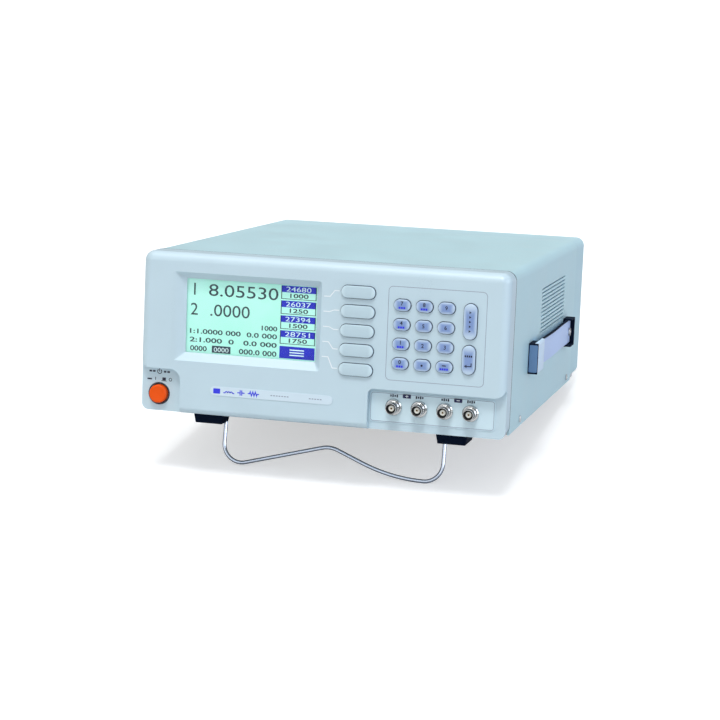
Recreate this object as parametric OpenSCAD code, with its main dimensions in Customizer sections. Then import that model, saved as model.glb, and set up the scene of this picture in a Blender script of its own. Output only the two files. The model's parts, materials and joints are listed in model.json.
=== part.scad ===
// Bench LCR meter: painted steel case, moulded front bezel, graphic display, keypad,
// four BNC test terminals, wire tilt bail and a side strap handle.
// X runs to the right as the user faces the meter, Y to the back, Z up.
// The origin is the centre of the case's underside.

/* [Case] */
// Width of the steel cover
case_w = 320; // [316:1:330]
// Height of the case without its feet
case_h = 138; // [136:1:144]
// Depth from the front face to the back of the rear frame
case_d = 400; // [390:1:430]
// Thickness of the cover, pan and panels
sheet_t = 1.5; // [1.2:0.1:2]
// Corner radius of the cover's long top edges
cover_r = 8; // [5:0.5:9]
// Depth of the rear frame
rear_frame_d = 46; // [36:1:52]

/* [Front bezel] */
// Depth of the bezel from the seam to the front face
bezel_d = 24; // [22:1:30]
// How far the bezel stands outside the cover
bezel_lip = 0.5; // [0.5:0.1:2]
// Wall thickness of the moulding
bezel_t = 3; // [2.5:0.1:3]
// Radius of the bezel's front edges and upper corners
bezel_r = 9; // [7:0.5:10]
// Step down from the front face to the power and terminal recesses
recess_d = 6.5; // [5:0.5:7]

/* [Display] */
// Width of the visible glass
glass_w = 116; // [110:1:118]
// Height of the visible glass
glass_h = 64; // [60:1:66]
// Depth of the glass behind the front face
glass_depth = 6; // [5:0.5:7]
// Thickness of the clear window
window_t = 1.5; // [1:0.1:2]

/* [Keys] */
// Distance between key rows
key_pitch_z = 16.4; // [15:0.1:17]
// Distance between keypad columns
key_pitch_x = 18.9; // [18:0.1:20]
// Width of a keypad key
key_w = 14.4; // [13:0.1:15]
// Height of a keypad key
key_h = 9.8; // [9:0.1:11]
// Width of a soft key
soft_w = 29.5; // [26:0.5:32]
// Height of a soft key
soft_h = 10.6; // [10:0.1:12]
// Gap between a key and its opening
key_gap = 0.5; // [0.4:0.1:0.8]
// How far a key stands out of the panel
key_proud = 2.4; // [1.6:0.1:2.5]
// Travel of a key
key_travel = 1.5; // [1:0.1:1.5]

/* [Power button] */
// Radius of the round push button
power_r = 7.9; // [7:0.1:8.2]
// How far the button stands out when off
power_proud = 4.5; // [4:0.1:6]
// Travel of the push button
power_travel = 3.5; // [2.5:0.1:3.5]

/* [Terminals] */
// Spacing of the BNC terminals
bnc_pitch = 22; // [20:0.5:22]
// Outside radius of the BNC barrel
bnc_r = 4.83; // [4.8:0.01:4.85]
// Length of a BNC terminal in front of its plate
bnc_len = 11; // [10:0.1:12]

/* [Feet and bail] */
// Height of the feet
foot_h = 14; // [12:0.5:16]
// Distance of a foot's centre from the middle
foot_x = 109; // [100:1:115]
// Diameter of the bail wire
wire_d = 3.4; // [3:0.1:3.6]
// Forward lean of the open bail, in degrees
bail_lean = 9.4; // [5:0.1:12]
// Distance of each bail leg from the middle
bail_x = 99.4; // [98.5:0.1:100]

/* [Handle] */
// Length over both handle brackets
handle_len = 207; // [200:1:240]
// Width of the strap
strap_w = 23; // [20:1:24]
// How far the brackets stand out of the cover
handle_proud = 8.5; // [8:0.5:12]

/* [Hidden] */
$fn = 48;
eps = 0.01;

// Main planes
half_w = case_w / 2;
y_front = -case_d / 2;
y_seam = y_front + bezel_d;
y_back = case_d / 2;
y_rear = y_back - rear_frame_d;
seam_gap = 2;
y_floor = y_front + recess_d;
y_skin = y_front + bezel_t;
y_glass = y_front + glass_depth;
bezel_w = case_w + 2 * bezel_lip;
bezel_h = case_h + 2 * bezel_lip;

// Lower left power recess: right edge, top edge and corner radius
power_x1 = -123.9;
power_top = 37.5;
power_corner = 9;
// Lower right terminal recess: left edge, top edge and corner radius
term_x0 = 43.1;
term_top = 34.8;
term_corner = 5;
// Radius of the sweep where each recess meets the side of the bezel
flare_r = 9;

// Display
lcd_cx = -63.5;
lcd_cz = 84.4;
// Run of the sloped surround on each side of the glass
surround_left = 10.8;
surround_right = 5.6;
surround_top = 5.8;
surround_bottom = 6.8;
module_w = 137;
module_h = 86;
module_d = 9;
// Liquid crystal cell: its front face and thickness
y_cell = y_glass + window_t + 0.2;
cell_t = 2;
pcb_t = 1.6;

// Label strip under the display
strip_x = -41.6;
strip_z = 21.8;
strip_w = 109;
strip_h = 8;

// Key places
soft_x = 31.9;
keys_z = 82.4;
pad_x = 88.9;
bar_x = 128.1;
bar_w = 11.4;
start_h = 30;
enter_h = 24.6;
start_z = 97.2;
enter_z = 65.2;
pad_frame_x = 99.6;
pad_frame_w = 84;
pad_frame_h = 79.4;
groove_w = 0.5;
groove_d = 0.3;
flange_over = 1.2;
flange_t = 1.2;
y_flange = y_skin + 0.1;
stem_d = 5;
post_r = 2.5;
post_low = 39;
post_high = 126;
y_stem = y_skin + 7;
switch_slack = 0.2;
switch_body = 6;
y_board = y_stem + key_travel + switch_slack + 4.2;

// Key board
key_board_x = 75.8;
key_board_w = 128;
key_board_h = 92;

// Power button
power_x = -144.8;
power_z = 14.4;
power_gap = 0.7;
power_edge = 0.6;
stem_r = 4;
rod_r = 2.5;
y_rod = -186;
y_rod_end = -110;

// Terminals
bnc_x = 97.6;
bnc_z = 19.7;
plate_t = 0.6;
plate_w = 107.6;
plate_h = 26;
plate_z = 18.9;
y_plate = y_floor - plate_t;
flange_r = 7;
flange_d = 2;
thread_r = 6;
bnc_hole_r = 6.2;
bnc_bore_r = 4.1;
collar_step = 0.6;
nose_len = 4.3;

// Feet and bail
foot_w = 30;
foot_slope = 3;
foot_d = 30;
y_foot_front = y_seam + 12;
y_foot_rear = y_back - 60;
pivot_y = y_seam + 33;
pivot_z = -9.5;
pin_len = 14;
pin_clear = 0.05;
bail_bend = 3;
slot_half = 3.2;

// Handle
handle_z = 55;
handle_y = 6.5;
bracket_len = 20;
bracket_w = 27;
bracket_wall = 1.6;
bracket_base = 2;
bracket_rail = 4;

// Underside bolt pattern for a rack shelf
shelf_x = 200;
shelf_y = 220;
shelf_hole_r = 2.1;
screw_hole_r = 1.7;

// Internal board
board_z = 8;
board_x0 = -108;
board_x1 = 148;
board_y0 = -155;
board_y1 = 160;

// Front bezel: radius of its lower corners
low_corner_r = 6;

// Cover: cooling slots on each side, and side screws
vent_count = 12;
vent_pitch = 3.52;
vent_len = 128.5;
vent_h = 1.4;
vent_z = 70.5;
vent_y = 24.3;
cover_screw_y = 126;
cover_screw_z = 6.5;

// Bottom pan
pan_w = case_w - 2 * sheet_t - 0.2;
pan_y0 = y_seam + 3;
pan_y1 = y_back - 23;
pan_side = 15;

// Rear frame, its panel and what stands on it
frame_t = 4;
y_panel = y_back - 16;
rear_open_w = 300;
rear_open_h = 118;
inlet_x = -112;
inlet_z = 62;
inlet_w = 28;
inlet_h = 48;
drawer_z = -17;
serial_x = 40;
serial_z = 40;
port_screw_x = 12.5;
earth_x = -66;
earth_z = 30;

// Openings in the front subpanel for the display and key board cables
cable_open_w = 94;
cable_open_h = 44;

// Screening can
can_x = 50;
can_y = -140;
can_w = 90;
can_len = 130;
can_h = 28;
can_t = 1;

// Heatsink and capacitors
sink_x = -96;
sink_y = 20;
sink_t = 4;
sink_len = 110;
sink_h = 44;
fin_len = 16;
fin_t = 2;
cap_x = -40;
cap_y = 135;
cap_r = 11;
cap_h = 34;

// Mains transformer
core_x = -136;
core_y = 60;
core_z = sheet_t;
core_w = 24;
core_len = 74;
core_h = 62;
core_leg = 12;
core_window = 13;

// Strap
strap_t = 2.4;
strap_bow = 0.8;
strap_steps = 24;
strap_end = 37;
strap_end_t = handle_proud - bracket_base - 0.4;
strap_len = handle_len - 2 * bracket_wall - 1;
handle_hole_r = 2.05;

// ---------- Shared shapes ----------

// Rectangle with true arc corners, centred
module rrect(w, h, r) {
    square([w - 2 * r, h], center = true);
    square([w, h - 2 * r], center = true);
    for (x = [-1, 1], y = [-1, 1]) translate([x * (w / 2 - r), y * (h / 2 - r)]) circle(r);
}

// Rectangle whose short sides are half circles
module pill(w, h) {
    r = min(w, h) / 2;
    square([w - (w > h ? 2 * r : 0), h - (h > w ? 2 * r : 0)], center = true);
    if (w > h) for (s = [-1, 1]) translate([s * (w / 2 - r), 0]) circle(r);
    if (h > w) for (s = [-1, 1]) translate([0, s * (h / 2 - r)]) circle(r);
}

// Extrudes a front-view (X, Z) outline from y0 back to y1
module front_plate(y0, y1) {
    translate([0, y1, 0]) rotate([90, 0, 0]) linear_extrude(y1 - y0) children();
}

// Extrudes a side-view (Y, Z) outline from x0 to x1
module side_plate(x0, x1) {
    translate([x0, 0, 0]) rotate([90, 0, 90]) linear_extrude(x1 - x0) children();
}

// Cylinder along Y from y0 back to y1
module y_rod_shape(r, y0, y1) {
    translate([0, y1, 0]) rotate([90, 0, 0]) cylinder(r = r, h = y1 - y0);
}

// Cylinder along X from x0 to x1
module x_rod_shape(r, x0, x1) {
    translate([x0, 0, 0]) rotate([0, 90, 0]) cylinder(r = r, h = x1 - x0);
}

// Places its child at each BNC terminal
module at_bncs() {
    for (i = [-1.5:1:1.5]) translate([bnc_x + i * bnc_pitch, 0, bnc_z]) children();
}

// Places its child on both sides of the middle
module both_sides(x) {
    for (s = [-1, 1]) translate([s * x, 0, 0]) children();
}

// ---------- Bezel ----------

// Outline of the lower left power recess
module power_outline(grow = 0) {
    x0 = -half_w - 12;
    difference() {
        translate([x0, -10]) square([power_x1 + grow - x0, power_top + grow + 10]);
        translate([power_x1 + grow - power_corner, power_top + grow - power_corner])
            square(power_corner + eps);
    }
    translate([power_x1 + grow - power_corner, power_top + grow - power_corner]) circle(power_corner);
}

// Outline of the lower right terminal recess
module terminal_outline(grow = 0) {
    x0 = term_x0 - grow;
    difference() {
        translate([x0, -10]) square([half_w + 12 - x0, term_top + grow + 10]);
        translate([x0 - eps, term_top + grow - term_corner]) square(term_corner + eps);
    }
    translate([x0 + term_corner, term_top + grow - term_corner]) circle(term_corner);
}

// Upward sweep of a recess edge at the side of the bezel, towards side s
module flare(s, z) {
    x = s * (half_w + bezel_lip - flare_r);
    difference() {
        translate([s > 0 ? x : x - flare_r - 3, z - eps]) square([flare_r + 3, flare_r]);
        translate([x, z + flare_r]) circle(flare_r);
    }
}

// Sloped surround of the display; grow makes the outside of its wall
module surround(grow = 0) {
    cx = lcd_cx + (surround_right - surround_left) / 2;
    cz = lcd_cz + (surround_top - surround_bottom) / 2;
    hull() {
        translate([cx, 0, cz]) front_plate(y_front - eps, y_front)
            rrect(glass_w + surround_left + surround_right + 2 * grow,
                  glass_h + surround_top + surround_bottom + 2 * grow, 2.5, $fn = 32);
        translate([lcd_cx, 0, lcd_cz]) front_plate(y_glass - eps, y_glass + eps)
            rrect(glass_w + 2 * grow, glass_h + 2 * grow, 1, $fn = 32);
    }
}

// Solid outside shape of the bezel with rounded front edges
module bezel_block() {
    top = case_h + bezel_lip;
    hull() {
        translate([0, 0, case_h / 2]) front_plate(y_seam - 1, y_seam)
            rrect(bezel_w, bezel_h, bezel_r, $fn = 40);
        for (s = [-1, 1]) {
            translate([s * (bezel_w / 2 - bezel_r), y_front + bezel_r, top - bezel_r])
                sphere(bezel_r, $fn = 40);
            translate([s * (bezel_w / 2 - low_corner_r), y_front + low_corner_r,
                       low_corner_r - bezel_lip]) sphere(low_corner_r, $fn = 40);
        }
    }
}

// Openings for all the keys, each larger than its key by grow all round
module key_openings(grow) {
    for (i = [-2:2]) translate([soft_x, keys_z + i * key_pitch_z])
        pill(soft_w + 2 * grow, soft_h + 2 * grow);
    for (i = [-1:1], j = [-1.5:1:1.5]) translate([pad_x + i * key_pitch_x, keys_z + j * key_pitch_z])
        pill(key_w + 2 * grow, key_h + 2 * grow);
    translate([bar_x, start_z]) pill(bar_w + 2 * grow, start_h + 2 * grow);
    translate([bar_x, enter_z]) pill(bar_w + 2 * grow, enter_h + 2 * grow);
}

// Posts on the back of the front wall that carry the key board
module board_posts() {
    for (x = [soft_x - 11, pad_frame_x + 30.4], z = [post_low, post_high])
        translate([x, 0, z]) y_rod_shape(post_r, y_skin - eps, y_board);
}

module front_bezel() {
    color([0.76, 0.84, 0.90]) difference() {
        bezel_block();
        // hollow back, leaving the wall, the recess floors and the display surround
        difference() {
            translate([0, 0, case_h / 2]) front_plate(y_skin, y_seam + 1)
                rrect(bezel_w - 2 * bezel_t, bezel_h - 2 * bezel_t, bezel_r - bezel_t);
            front_plate(y_skin - 1, y_floor + bezel_t) power_outline(bezel_t);
            front_plate(y_skin - 1, y_floor + bezel_t) terminal_outline(bezel_t);
            surround(2);
            board_posts();
        }
        front_plate(y_front - 1, y_floor) {
            power_outline();
            terminal_outline();
            flare(-1, power_top);
            flare(1, term_top);
        }
        surround();
        front_plate(y_front - 1, y_skin + 1) key_openings(key_gap);
        // engraved line round the keypad
        front_plate(y_front - 1, y_front + groove_d) translate([pad_frame_x, keys_z + 0.4]) difference() {
            rrect(pad_frame_w, pad_frame_h, 4);
            rrect(pad_frame_w - 2 * groove_w, pad_frame_h - 2 * groove_w, 4 - groove_w);
        }
        translate([power_x, 0, power_z]) y_rod_shape(power_r + power_gap, y_front, y_floor + bezel_t + 1);
        at_bncs() y_rod_shape(bnc_hole_r, y_front, y_floor + bezel_t + 1);
    }
}

module label_strip() {
    color([0.80, 0.88, 0.92]) translate([strip_x, 0, strip_z])
        front_plate(y_front - 0.4, y_front) pill(strip_w, strip_h);
}

module terminal_plate() {
    color([0.72, 0.83, 0.88]) difference() {
        translate([bnc_x, 0, plate_z]) front_plate(y_plate, y_floor) rrect(plate_w, plate_h, 3);
        at_bncs() y_rod_shape(bnc_hole_r, y_plate - 1, y_floor + 1);
    }
}

// ---------- Display ----------

module lcd_window() {
    color([0.8, 0.95, 0.92, 0.4]) translate([lcd_cx, 0, lcd_cz])
        front_plate(y_glass + eps, y_glass + window_t) rrect(glass_w + 8, glass_h + 8, 1.5);
}

module lcd_glass() {
    color([0.72, 1.0, 0.92]) translate([lcd_cx, 0, lcd_cz])
        front_plate(y_cell, y_cell + cell_t) square([glass_w + 4, glass_h + 4], center = true);
}

// Metal frame and board that hold the glass
module lcd_module() {
    y0 = y_glass + window_t;
    color("dimgray") translate([lcd_cx, 0, lcd_cz]) difference() {
        front_plate(y0, y0 + module_d) square([module_w, module_h], center = true);
        front_plate(y0 - 1, y0 + 2.2) square([glass_w + 4.2, glass_h + 4.2], center = true);
    }
}

// ---------- Keys ----------

// One key centred on (x, z): domed-edge cap, retaining flange and two stems
module key(x, z, w, h) {
    translate([x, 0, z]) {
        front_plate(y_front - key_proud + 0.5, y_flange + eps) pill(w, h);
        front_plate(y_front - key_proud, y_front - key_proud + 0.5 + eps) pill(w - 0.9, h - 0.9);
        front_plate(y_flange, y_flange + flange_t)
            pill(w + 2 * (flange_over + key_gap), h + 2 * (flange_over + key_gap));
        y_rod_shape(stem_d / 2, y_flange + eps, y_stem);
    }
}

module soft_key(row) {
    color([0.80, 0.88, 0.88]) key(soft_x, keys_z + (3 - row) * key_pitch_z, soft_w, soft_h);
}

// Keypad key in column 0 to 2 from the left and row 0 to 3 from the top
module pad_key(column, row) {
    color([0.66, 0.74, 0.86])
        key(pad_x + (column - 1) * key_pitch_x, keys_z + (1.5 - row) * key_pitch_z, key_w, key_h);
}

module softkey_1() { soft_key(1); }
module softkey_2() { soft_key(2); }
module softkey_3() { soft_key(3); }
module softkey_4() { soft_key(4); }
module softkey_5() { soft_key(5); }
module key_7() { pad_key(0, 0); }
module key_8() { pad_key(1, 0); }
module key_9() { pad_key(2, 0); }
module key_4() { pad_key(0, 1); }
module key_5() { pad_key(1, 1); }
module key_6() { pad_key(2, 1); }
module key_1() { pad_key(0, 2); }
module key_2() { pad_key(1, 2); }
module key_3() { pad_key(2, 2); }
module key_0() { pad_key(0, 3); }
module key_point() { pad_key(1, 3); }
module key_sign() { pad_key(2, 3); }
module start_key() { color([0.66, 0.74, 0.86]) key(bar_x, start_z, bar_w, start_h); }
module enter_key() { color([0.66, 0.74, 0.86]) key(bar_x, enter_z, bar_w, enter_h); }

module key_board() {
    color("darkgreen") translate([key_board_x, 0, keys_z + 0.2])
        front_plate(y_board, y_board + pcb_t) rrect(key_board_w, key_board_h, 2);
}

// One tactile switch behind each key
module tact_switch() {
    front_plate(y_board - 3.2, y_board) square(switch_body, center = true);
    y_rod_shape(1.75, y_board - 4.2, y_board - 3.2 + eps);
}

module tact_switches() {
    color("dimgray") {
        for (i = [-2:2]) translate([soft_x, 0, keys_z + i * key_pitch_z]) tact_switch();
        for (i = [-1:1], j = [-1.5:1:1.5])
            translate([pad_x + i * key_pitch_x, 0, keys_z + j * key_pitch_z]) tact_switch();
        for (z = [start_z, enter_z]) translate([bar_x, 0, z]) tact_switch();
    }
}

// ---------- Power button ----------

module power_button() {
    y0 = y_floor - power_proud;
    color([0.95, 0.35, 0.05]) translate([power_x, 0, power_z]) difference() {
        union() {
            y_rod_shape(power_r, y0 + power_edge, y_floor + 2.5);
            translate([0, y0 + power_edge + eps, 0]) rotate([90, 0, 0])
                cylinder(r1 = power_r, r2 = power_r - power_edge, h = power_edge);
            y_rod_shape(stem_r, y_floor + 2, y_rod + 8);
        }
        y_rod_shape(rod_r, y_rod, y_rod + 9);
    }
}

module power_rod() {
    color("silver") translate([power_x, 0, power_z]) y_rod_shape(rod_r, y_rod, y_rod_end);
}

// Push-push mains switch on its foot, with the bore that guides the rod
module power_switch() {
    y0 = y_rod_end - 8;
    color([0.15, 0.15, 0.16]) difference() {
        union() {
            translate([power_x - 9, y0, power_z - 8]) cube([18, 36, 16]);
            translate([power_x - 12, y0 + 6, sheet_t]) cube([24, 24, power_z - 8 - sheet_t + eps]);
        }
        translate([power_x, 0, power_z]) y_rod_shape(rod_r + 0.3, y0 - 1, y_rod_end + power_travel + 2);
    }
}

// ---------- BNC terminals ----------

module bnc_shell() {
    y_tip = y_plate - bnc_len;
    difference() {
        union() {
            y_rod_shape(bnc_r, y_tip, y_tip + nose_len);
            y_rod_shape(bnc_r + collar_step, y_tip + nose_len, y_plate - flange_d);
            y_rod_shape(flange_r, y_plate - flange_d, y_plate);
            y_rod_shape(thread_r, y_plate, y_floor + 14);
            // bayonet lugs
            translate([0, y_tip + nose_len + 1.2, 0]) x_rod_shape(1, -5.6, 5.6);
        }
        y_rod_shape(bnc_bore_r, y_tip - 1, y_floor + 10);
        y_rod_shape(1.6, y_floor, y_floor + 20);
    }
}

module bnc_shells() { color("silver") at_bncs() bnc_shell(); }

module bnc_insulators() {
    y_tip = y_plate - bnc_len;
    color("white") at_bncs() difference() {
        union() {
            y_rod_shape(bnc_bore_r - 0.05, y_floor, y_floor + 10);
            y_rod_shape(2.4, y_tip + 2.5, y_floor + eps);
        }
        y_rod_shape(0.9, y_tip, y_floor + 11);
    }
}

module bnc_contacts() {
    y_tip = y_plate - bnc_len;
    color("gold") at_bncs() difference() {
        y_rod_shape(0.85, y_tip + 2.7, y_floor + 18);
        y_rod_shape(0.5, y_tip, y_tip + 7);
    }
}

module bnc_nuts() {
    color("silver") at_bncs() difference() {
        translate([0, y_floor + bezel_t + 2.5, 0]) rotate([90, 0, 0]) cylinder(r = 8, h = 2.5, $fn = 6);
        y_rod_shape(thread_r + 0.03, y_floor, y_floor + 10);
    }
}

// ---------- Case ----------

// U-shaped cover seen from the front
module cover_outline() {
    difference() {
        translate([0, case_h / 2]) rrect(case_w, case_h, cover_r);
        translate([0, case_h / 2]) rrect(case_w - 2 * sheet_t, case_h - 2 * sheet_t, cover_r - sheet_t);
        translate([-case_w, -1]) square([2 * case_w, cover_r + 1]);
    }
    for (s = [-1, 1]) translate([s * (half_w - sheet_t / 2), (cover_r + 0.2) / 2])
        square([sheet_t, cover_r + 0.2], center = true);
}

module top_cover() {
    color([0.75, 0.88, 0.90]) difference() {
        front_plate(y_seam + seam_gap, y_rear - 0.3) cover_outline();
        // cooling slots through both sides
        for (i = [0:vent_count - 1])
            translate([-case_w, vent_y - vent_len / 2, vent_z + i * vent_pitch])
                cube([2 * case_w, vent_len, vent_h]);
        for (y = [-cover_screw_y, cover_screw_y])
            translate([0, y, cover_screw_z]) x_rod_shape(screw_hole_r, -case_w, case_w);
        at_handle_screws() x_rod_shape(handle_hole_r, half_w - 5, half_w + 5);
    }
}

module cover_screws() {
    color("silver") for (y = [-cover_screw_y, cover_screw_y], s = [0, 180])
        translate([0, y, cover_screw_z]) rotate([0, 0, s]) difference() {
            union() {
                x_rod_shape(3, half_w, half_w + 1.2);
                x_rod_shape(1.5, half_w - 6, half_w + eps);
            }
            for (a = [0, 90]) translate([half_w + 1.3, 0, 0]) rotate([a, 0, 0])
                cube([1.4, 3.6, 0.7], center = true);
        }
}

module bottom_pan() {
    len = pan_y1 - pan_y0;
    color([0.72, 0.76, 0.78]) difference() {
        union() {
            translate([-pan_w / 2, pan_y0, 0]) cube([pan_w, len, sheet_t]);
            for (s = [0, 1]) translate([s * (pan_w - sheet_t) - pan_w / 2, pan_y0, 0])
                cube([sheet_t, len, pan_side]);
            // pressed standoffs under the main board
            for (x = [board_x0 + 6, board_x1 - 6], y = [board_y0 + 6, board_y1 - 6])
                translate([x, y, sheet_t - eps]) cylinder(r = 3, h = board_z - sheet_t + eps);
        }
        for (x = [-1, 1], y = [-1, 1]) {
            translate([x * shelf_x / 2, y * shelf_y / 2, -1]) cylinder(r = shelf_hole_r, h = 4);
        }
        at_feet() translate([0, foot_d / 2, -1]) cylinder(r = screw_hole_r, h = 4);
        for (y = [-cover_screw_y, cover_screw_y])
            translate([0, y, cover_screw_z]) x_rod_shape(screw_hole_r, -case_w, case_w);
        // cooling slots in the floor
        for (i = [0:9]) translate([-60, -40 + i * 9, -1]) cube([120, 3, 4]);
    }
}

module rear_frame() {
    hole_w = pan_w + 0.3;
    color([0.72, 0.84, 0.88]) difference() {
        translate([0, 0, case_h / 2]) difference() {
            front_plate(y_rear, y_back) rrect(case_w, case_h, cover_r);
            front_plate(y_panel, y_back + 1) rrect(rear_open_w, rear_open_h, 5);
            front_plate(y_rear - 1, y_panel + eps)
                rrect(case_w - 2 * frame_t, case_h - 2 * frame_t, frame_t);
        }
        // the pan reaches into the frame
        translate([-hole_w / 2, y_rear - 1, -1])
            cube([hole_w, pan_y1 - y_rear + 1.3, pan_side + 1.3]);
    }
}

module rear_panel() {
    color([0.70, 0.74, 0.76]) difference() {
        translate([0, 0, case_h / 2]) front_plate(y_panel - sheet_t, y_panel)
            rrect(case_w - 2 * frame_t - 1, case_h - 2 * frame_t - 1, frame_t - 0.5);
        translate([inlet_x, 0, inlet_z]) front_plate(y_rear, y_back)
            square([inlet_w, inlet_h], center = true);
        translate([serial_x, 0, serial_z]) front_plate(y_rear, y_back) rrect(20, 11, 2);
        for (s = [-1, 1]) translate([serial_x + s * port_screw_x, 0, serial_z])
            y_rod_shape(1.6, y_rear, y_back);
        translate([earth_x, 0, earth_z]) y_rod_shape(2.1, y_rear, y_back);
        // cooling slots
        for (i = [0:13]) translate([-20 + i * 11, 0, 92]) front_plate(y_rear, y_back) pill(4, 36);
    }
}

// Steel plate that ties the bezel to the pan
module front_subpanel() {
    y0 = y_seam + seam_gap + 0.2;
    color([0.70, 0.74, 0.76]) difference() {
        translate([0, 0, case_h / 2]) front_plate(y0, y0 + sheet_t) rrect(case_w - 8, case_h - 10, 4);
        for (x = [lcd_cx, key_board_x]) translate([x, 0, lcd_cz]) front_plate(y0 - 1, y0 + 3)
            square([cable_open_w, cable_open_h], center = true);
        translate([power_x, 0, power_z]) y_rod_shape(5, y0 - 1, y0 + 3);
        at_bncs() y_rod_shape(7, y0 - 1, y0 + 3);
    }
}

// ---------- Electronics ----------

module main_board() {
    color("darkgreen") translate([board_x0, board_y0, board_z])
        cube([board_x1 - board_x0, board_y1 - board_y0, pcb_t]);
}

// Tinned screening can over the measuring circuit
module analog_shield() {
    z0 = board_z + pcb_t;
    color("silver") translate([can_x, can_y, z0]) difference() {
        cube([can_w, can_len, can_h]);
        translate([can_t, can_t, -can_t]) cube([can_w - 2 * can_t, can_len - 2 * can_t, can_h]);
        for (x = [15:15:75], y = [20:15:110]) translate([x, y, can_h / 2]) cylinder(r = 2.5, h = can_h);
    }
}

module transformer_core() {
    color([0.35, 0.36, 0.38]) translate([core_x, core_y, core_z]) difference() {
        cube([core_w, core_len, core_h]);
        // two windows with the winding leg between them
        for (y = [core_leg, core_len - core_leg - core_window])
            translate([-1, y, core_leg]) cube([core_w + 2, core_window, core_h - 2 * core_leg]);
    }
}

module transformer_coil() {
    color([0.85, 0.65, 0.2]) translate([core_x, core_y, core_z]) difference() {
        translate([-9, core_leg + 0.3, core_leg + 0.3])
            cube([core_w + 18, core_len - 2 * core_leg - 0.6, core_h - 2 * core_leg - 0.6]);
        translate([-0.2, core_leg + core_window - 0.2, core_leg - 2])
            cube([core_w + 0.4, core_len - 2 * (core_leg + core_window) + 0.4, core_h - 2 * core_leg + 4]);
    }
}

module heatsink() {
    z0 = board_z + pcb_t;
    color([0.62, 0.63, 0.65]) translate([sink_x, sink_y, z0]) {
        cube([sink_t, sink_len, sink_h]);
        for (i = [0:8]) translate([sink_t - eps, i * (sink_len - fin_t) / 8, 0])
            cube([fin_len, fin_t, sink_h]);
    }
}

module capacitors() {
    z0 = board_z + pcb_t;
    color([0.12, 0.16, 0.30]) for (i = [0:3]) translate([cap_x + i * 30, cap_y, z0])
        cylinder(r = cap_r, h = cap_h);
}

// Ribbon from the display board to the main board
module ribbon_cable() {
    y0 = y_glass + window_t + module_d;
    z0 = board_z + pcb_t;
    color([0.75, 0.75, 0.78]) side_plate(lcd_cx - 17.5, lcd_cx + 17.5) polygon([
        [y0, 70], [y0 + 25, 70], [y0 + 38, 40], [y0 + 38, z0], [y0 + 39, z0],
        [y0 + 39, 40.3], [y0 + 25.7, 71], [y0, 71]
    ]);
}

// ---------- Rear connectors ----------

module mains_inlet() {
    y0 = y_panel;
    color([0.10, 0.10, 0.11]) translate([inlet_x, 0, inlet_z]) difference() {
        union() {
            front_plate(y0, y0 + 3) rrect(inlet_w + 6, inlet_h + 8, 3);
            front_plate(y0 - 26, y0 + eps) square([inlet_w - 0.6, inlet_h - 0.6], center = true);
        }
        translate([0, 0, 6]) front_plate(y0 - 16, y0 + 4) rrect(24.5, 17, 3);
        translate([0, 0, drawer_z]) front_plate(y0 - 20, y0 + 4) square([20.6, 8.6], center = true);
    }
    // earth, line and neutral blades
    color("silver") for (p = [[0, 10], [-7, 4], [7, 4]])
        translate([inlet_x + p[0] - 1, y0 - 16 - eps, inlet_z + p[1] - 2]) cube([2, 14, 4]);
}

// Drawer that holds the fuse
module fuse_drawer() {
    y0 = y_panel;
    color([0.13, 0.13, 0.14]) translate([inlet_x, 0, inlet_z + drawer_z]) difference() {
        union() {
            front_plate(y0 - 19, y0 + 3.2) square([20, 8], center = true);
            front_plate(y0 + 3.2 - eps, y0 + 4.6) rrect(23, 10, 1.5);
        }
        translate([-8, y0 - 17, -2]) cube([16, 14, 8]);
    }
}

// Nine-pin serial connector
module serial_port() {
    y0 = y_panel;
    color("silver") translate([serial_x, 0, serial_z]) difference() {
        union() {
            front_plate(y0, y0 + 1) rrect(31, 12.6, 1.5);
            front_plate(y0 - 9, y0 + 6) rrect(17, 8.4, 2);
        }
        front_plate(y0 + 1, y0 + 7) rrect(16, 7.4, 1.6);
        for (s = [-1, 1]) translate([s * port_screw_x, 0, 0]) y_rod_shape(1.6, y0 - 1, y0 + 2);
    }
}

module port_screws() {
    y0 = y_panel;
    color("silver") for (s = [-1, 1]) translate([serial_x + s * port_screw_x, 0, serial_z]) difference() {
        union() {
            translate([0, y0 + 6, 0]) rotate([90, 0, 0]) cylinder(r = 2.8, h = 5, $fn = 6);
            y_rod_shape(1.4, y0 - 5, y0 + 1 + eps);
        }
        y_rod_shape(1.1, y0 + 1.5, y0 + 7);
    }
}

// Chassis earth stud with its fixed nut
module earth_post() {
    y0 = y_panel;
    color([0.80, 0.68, 0.35]) translate([earth_x, 0, earth_z]) {
        translate([0, y0 + 3, 0]) rotate([90, 0, 0]) cylinder(r = 4.2, h = 3, $fn = 6);
        y_rod_shape(2, y0 - 6, y0 + 14);
    }
}

// ---------- Feet and bail ----------

// Places its child at the front corner line of each foot
module at_feet() {
    at_front_feet() children();
    at_rear_feet() children();
}

module at_front_feet() {
    for (s = [-1, 1]) translate([s * foot_x, y_foot_front, 0]) children();
}

module at_rear_feet() {
    for (s = [-1, 1]) translate([s * foot_x, y_foot_rear, 0]) children();
}

// Foot block, tapered towards the ground
module foot_body() {
    difference() {
        translate([0, foot_d, 0]) rotate([90, 0, 0]) linear_extrude(foot_d) polygon([
            [-foot_w / 2, 0], [foot_w / 2, 0],
            [foot_w / 2 - foot_slope, -foot_h], [-foot_w / 2 + foot_slope, -foot_h]
        ]);
        // screw recess
        translate([0, foot_d / 2, -foot_h - 1]) cylinder(r = 3.6, h = foot_h - 4 + 1);
        translate([0, foot_d / 2, -foot_h]) cylinder(r = screw_hole_r, h = foot_h + 1);
    }
}

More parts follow.
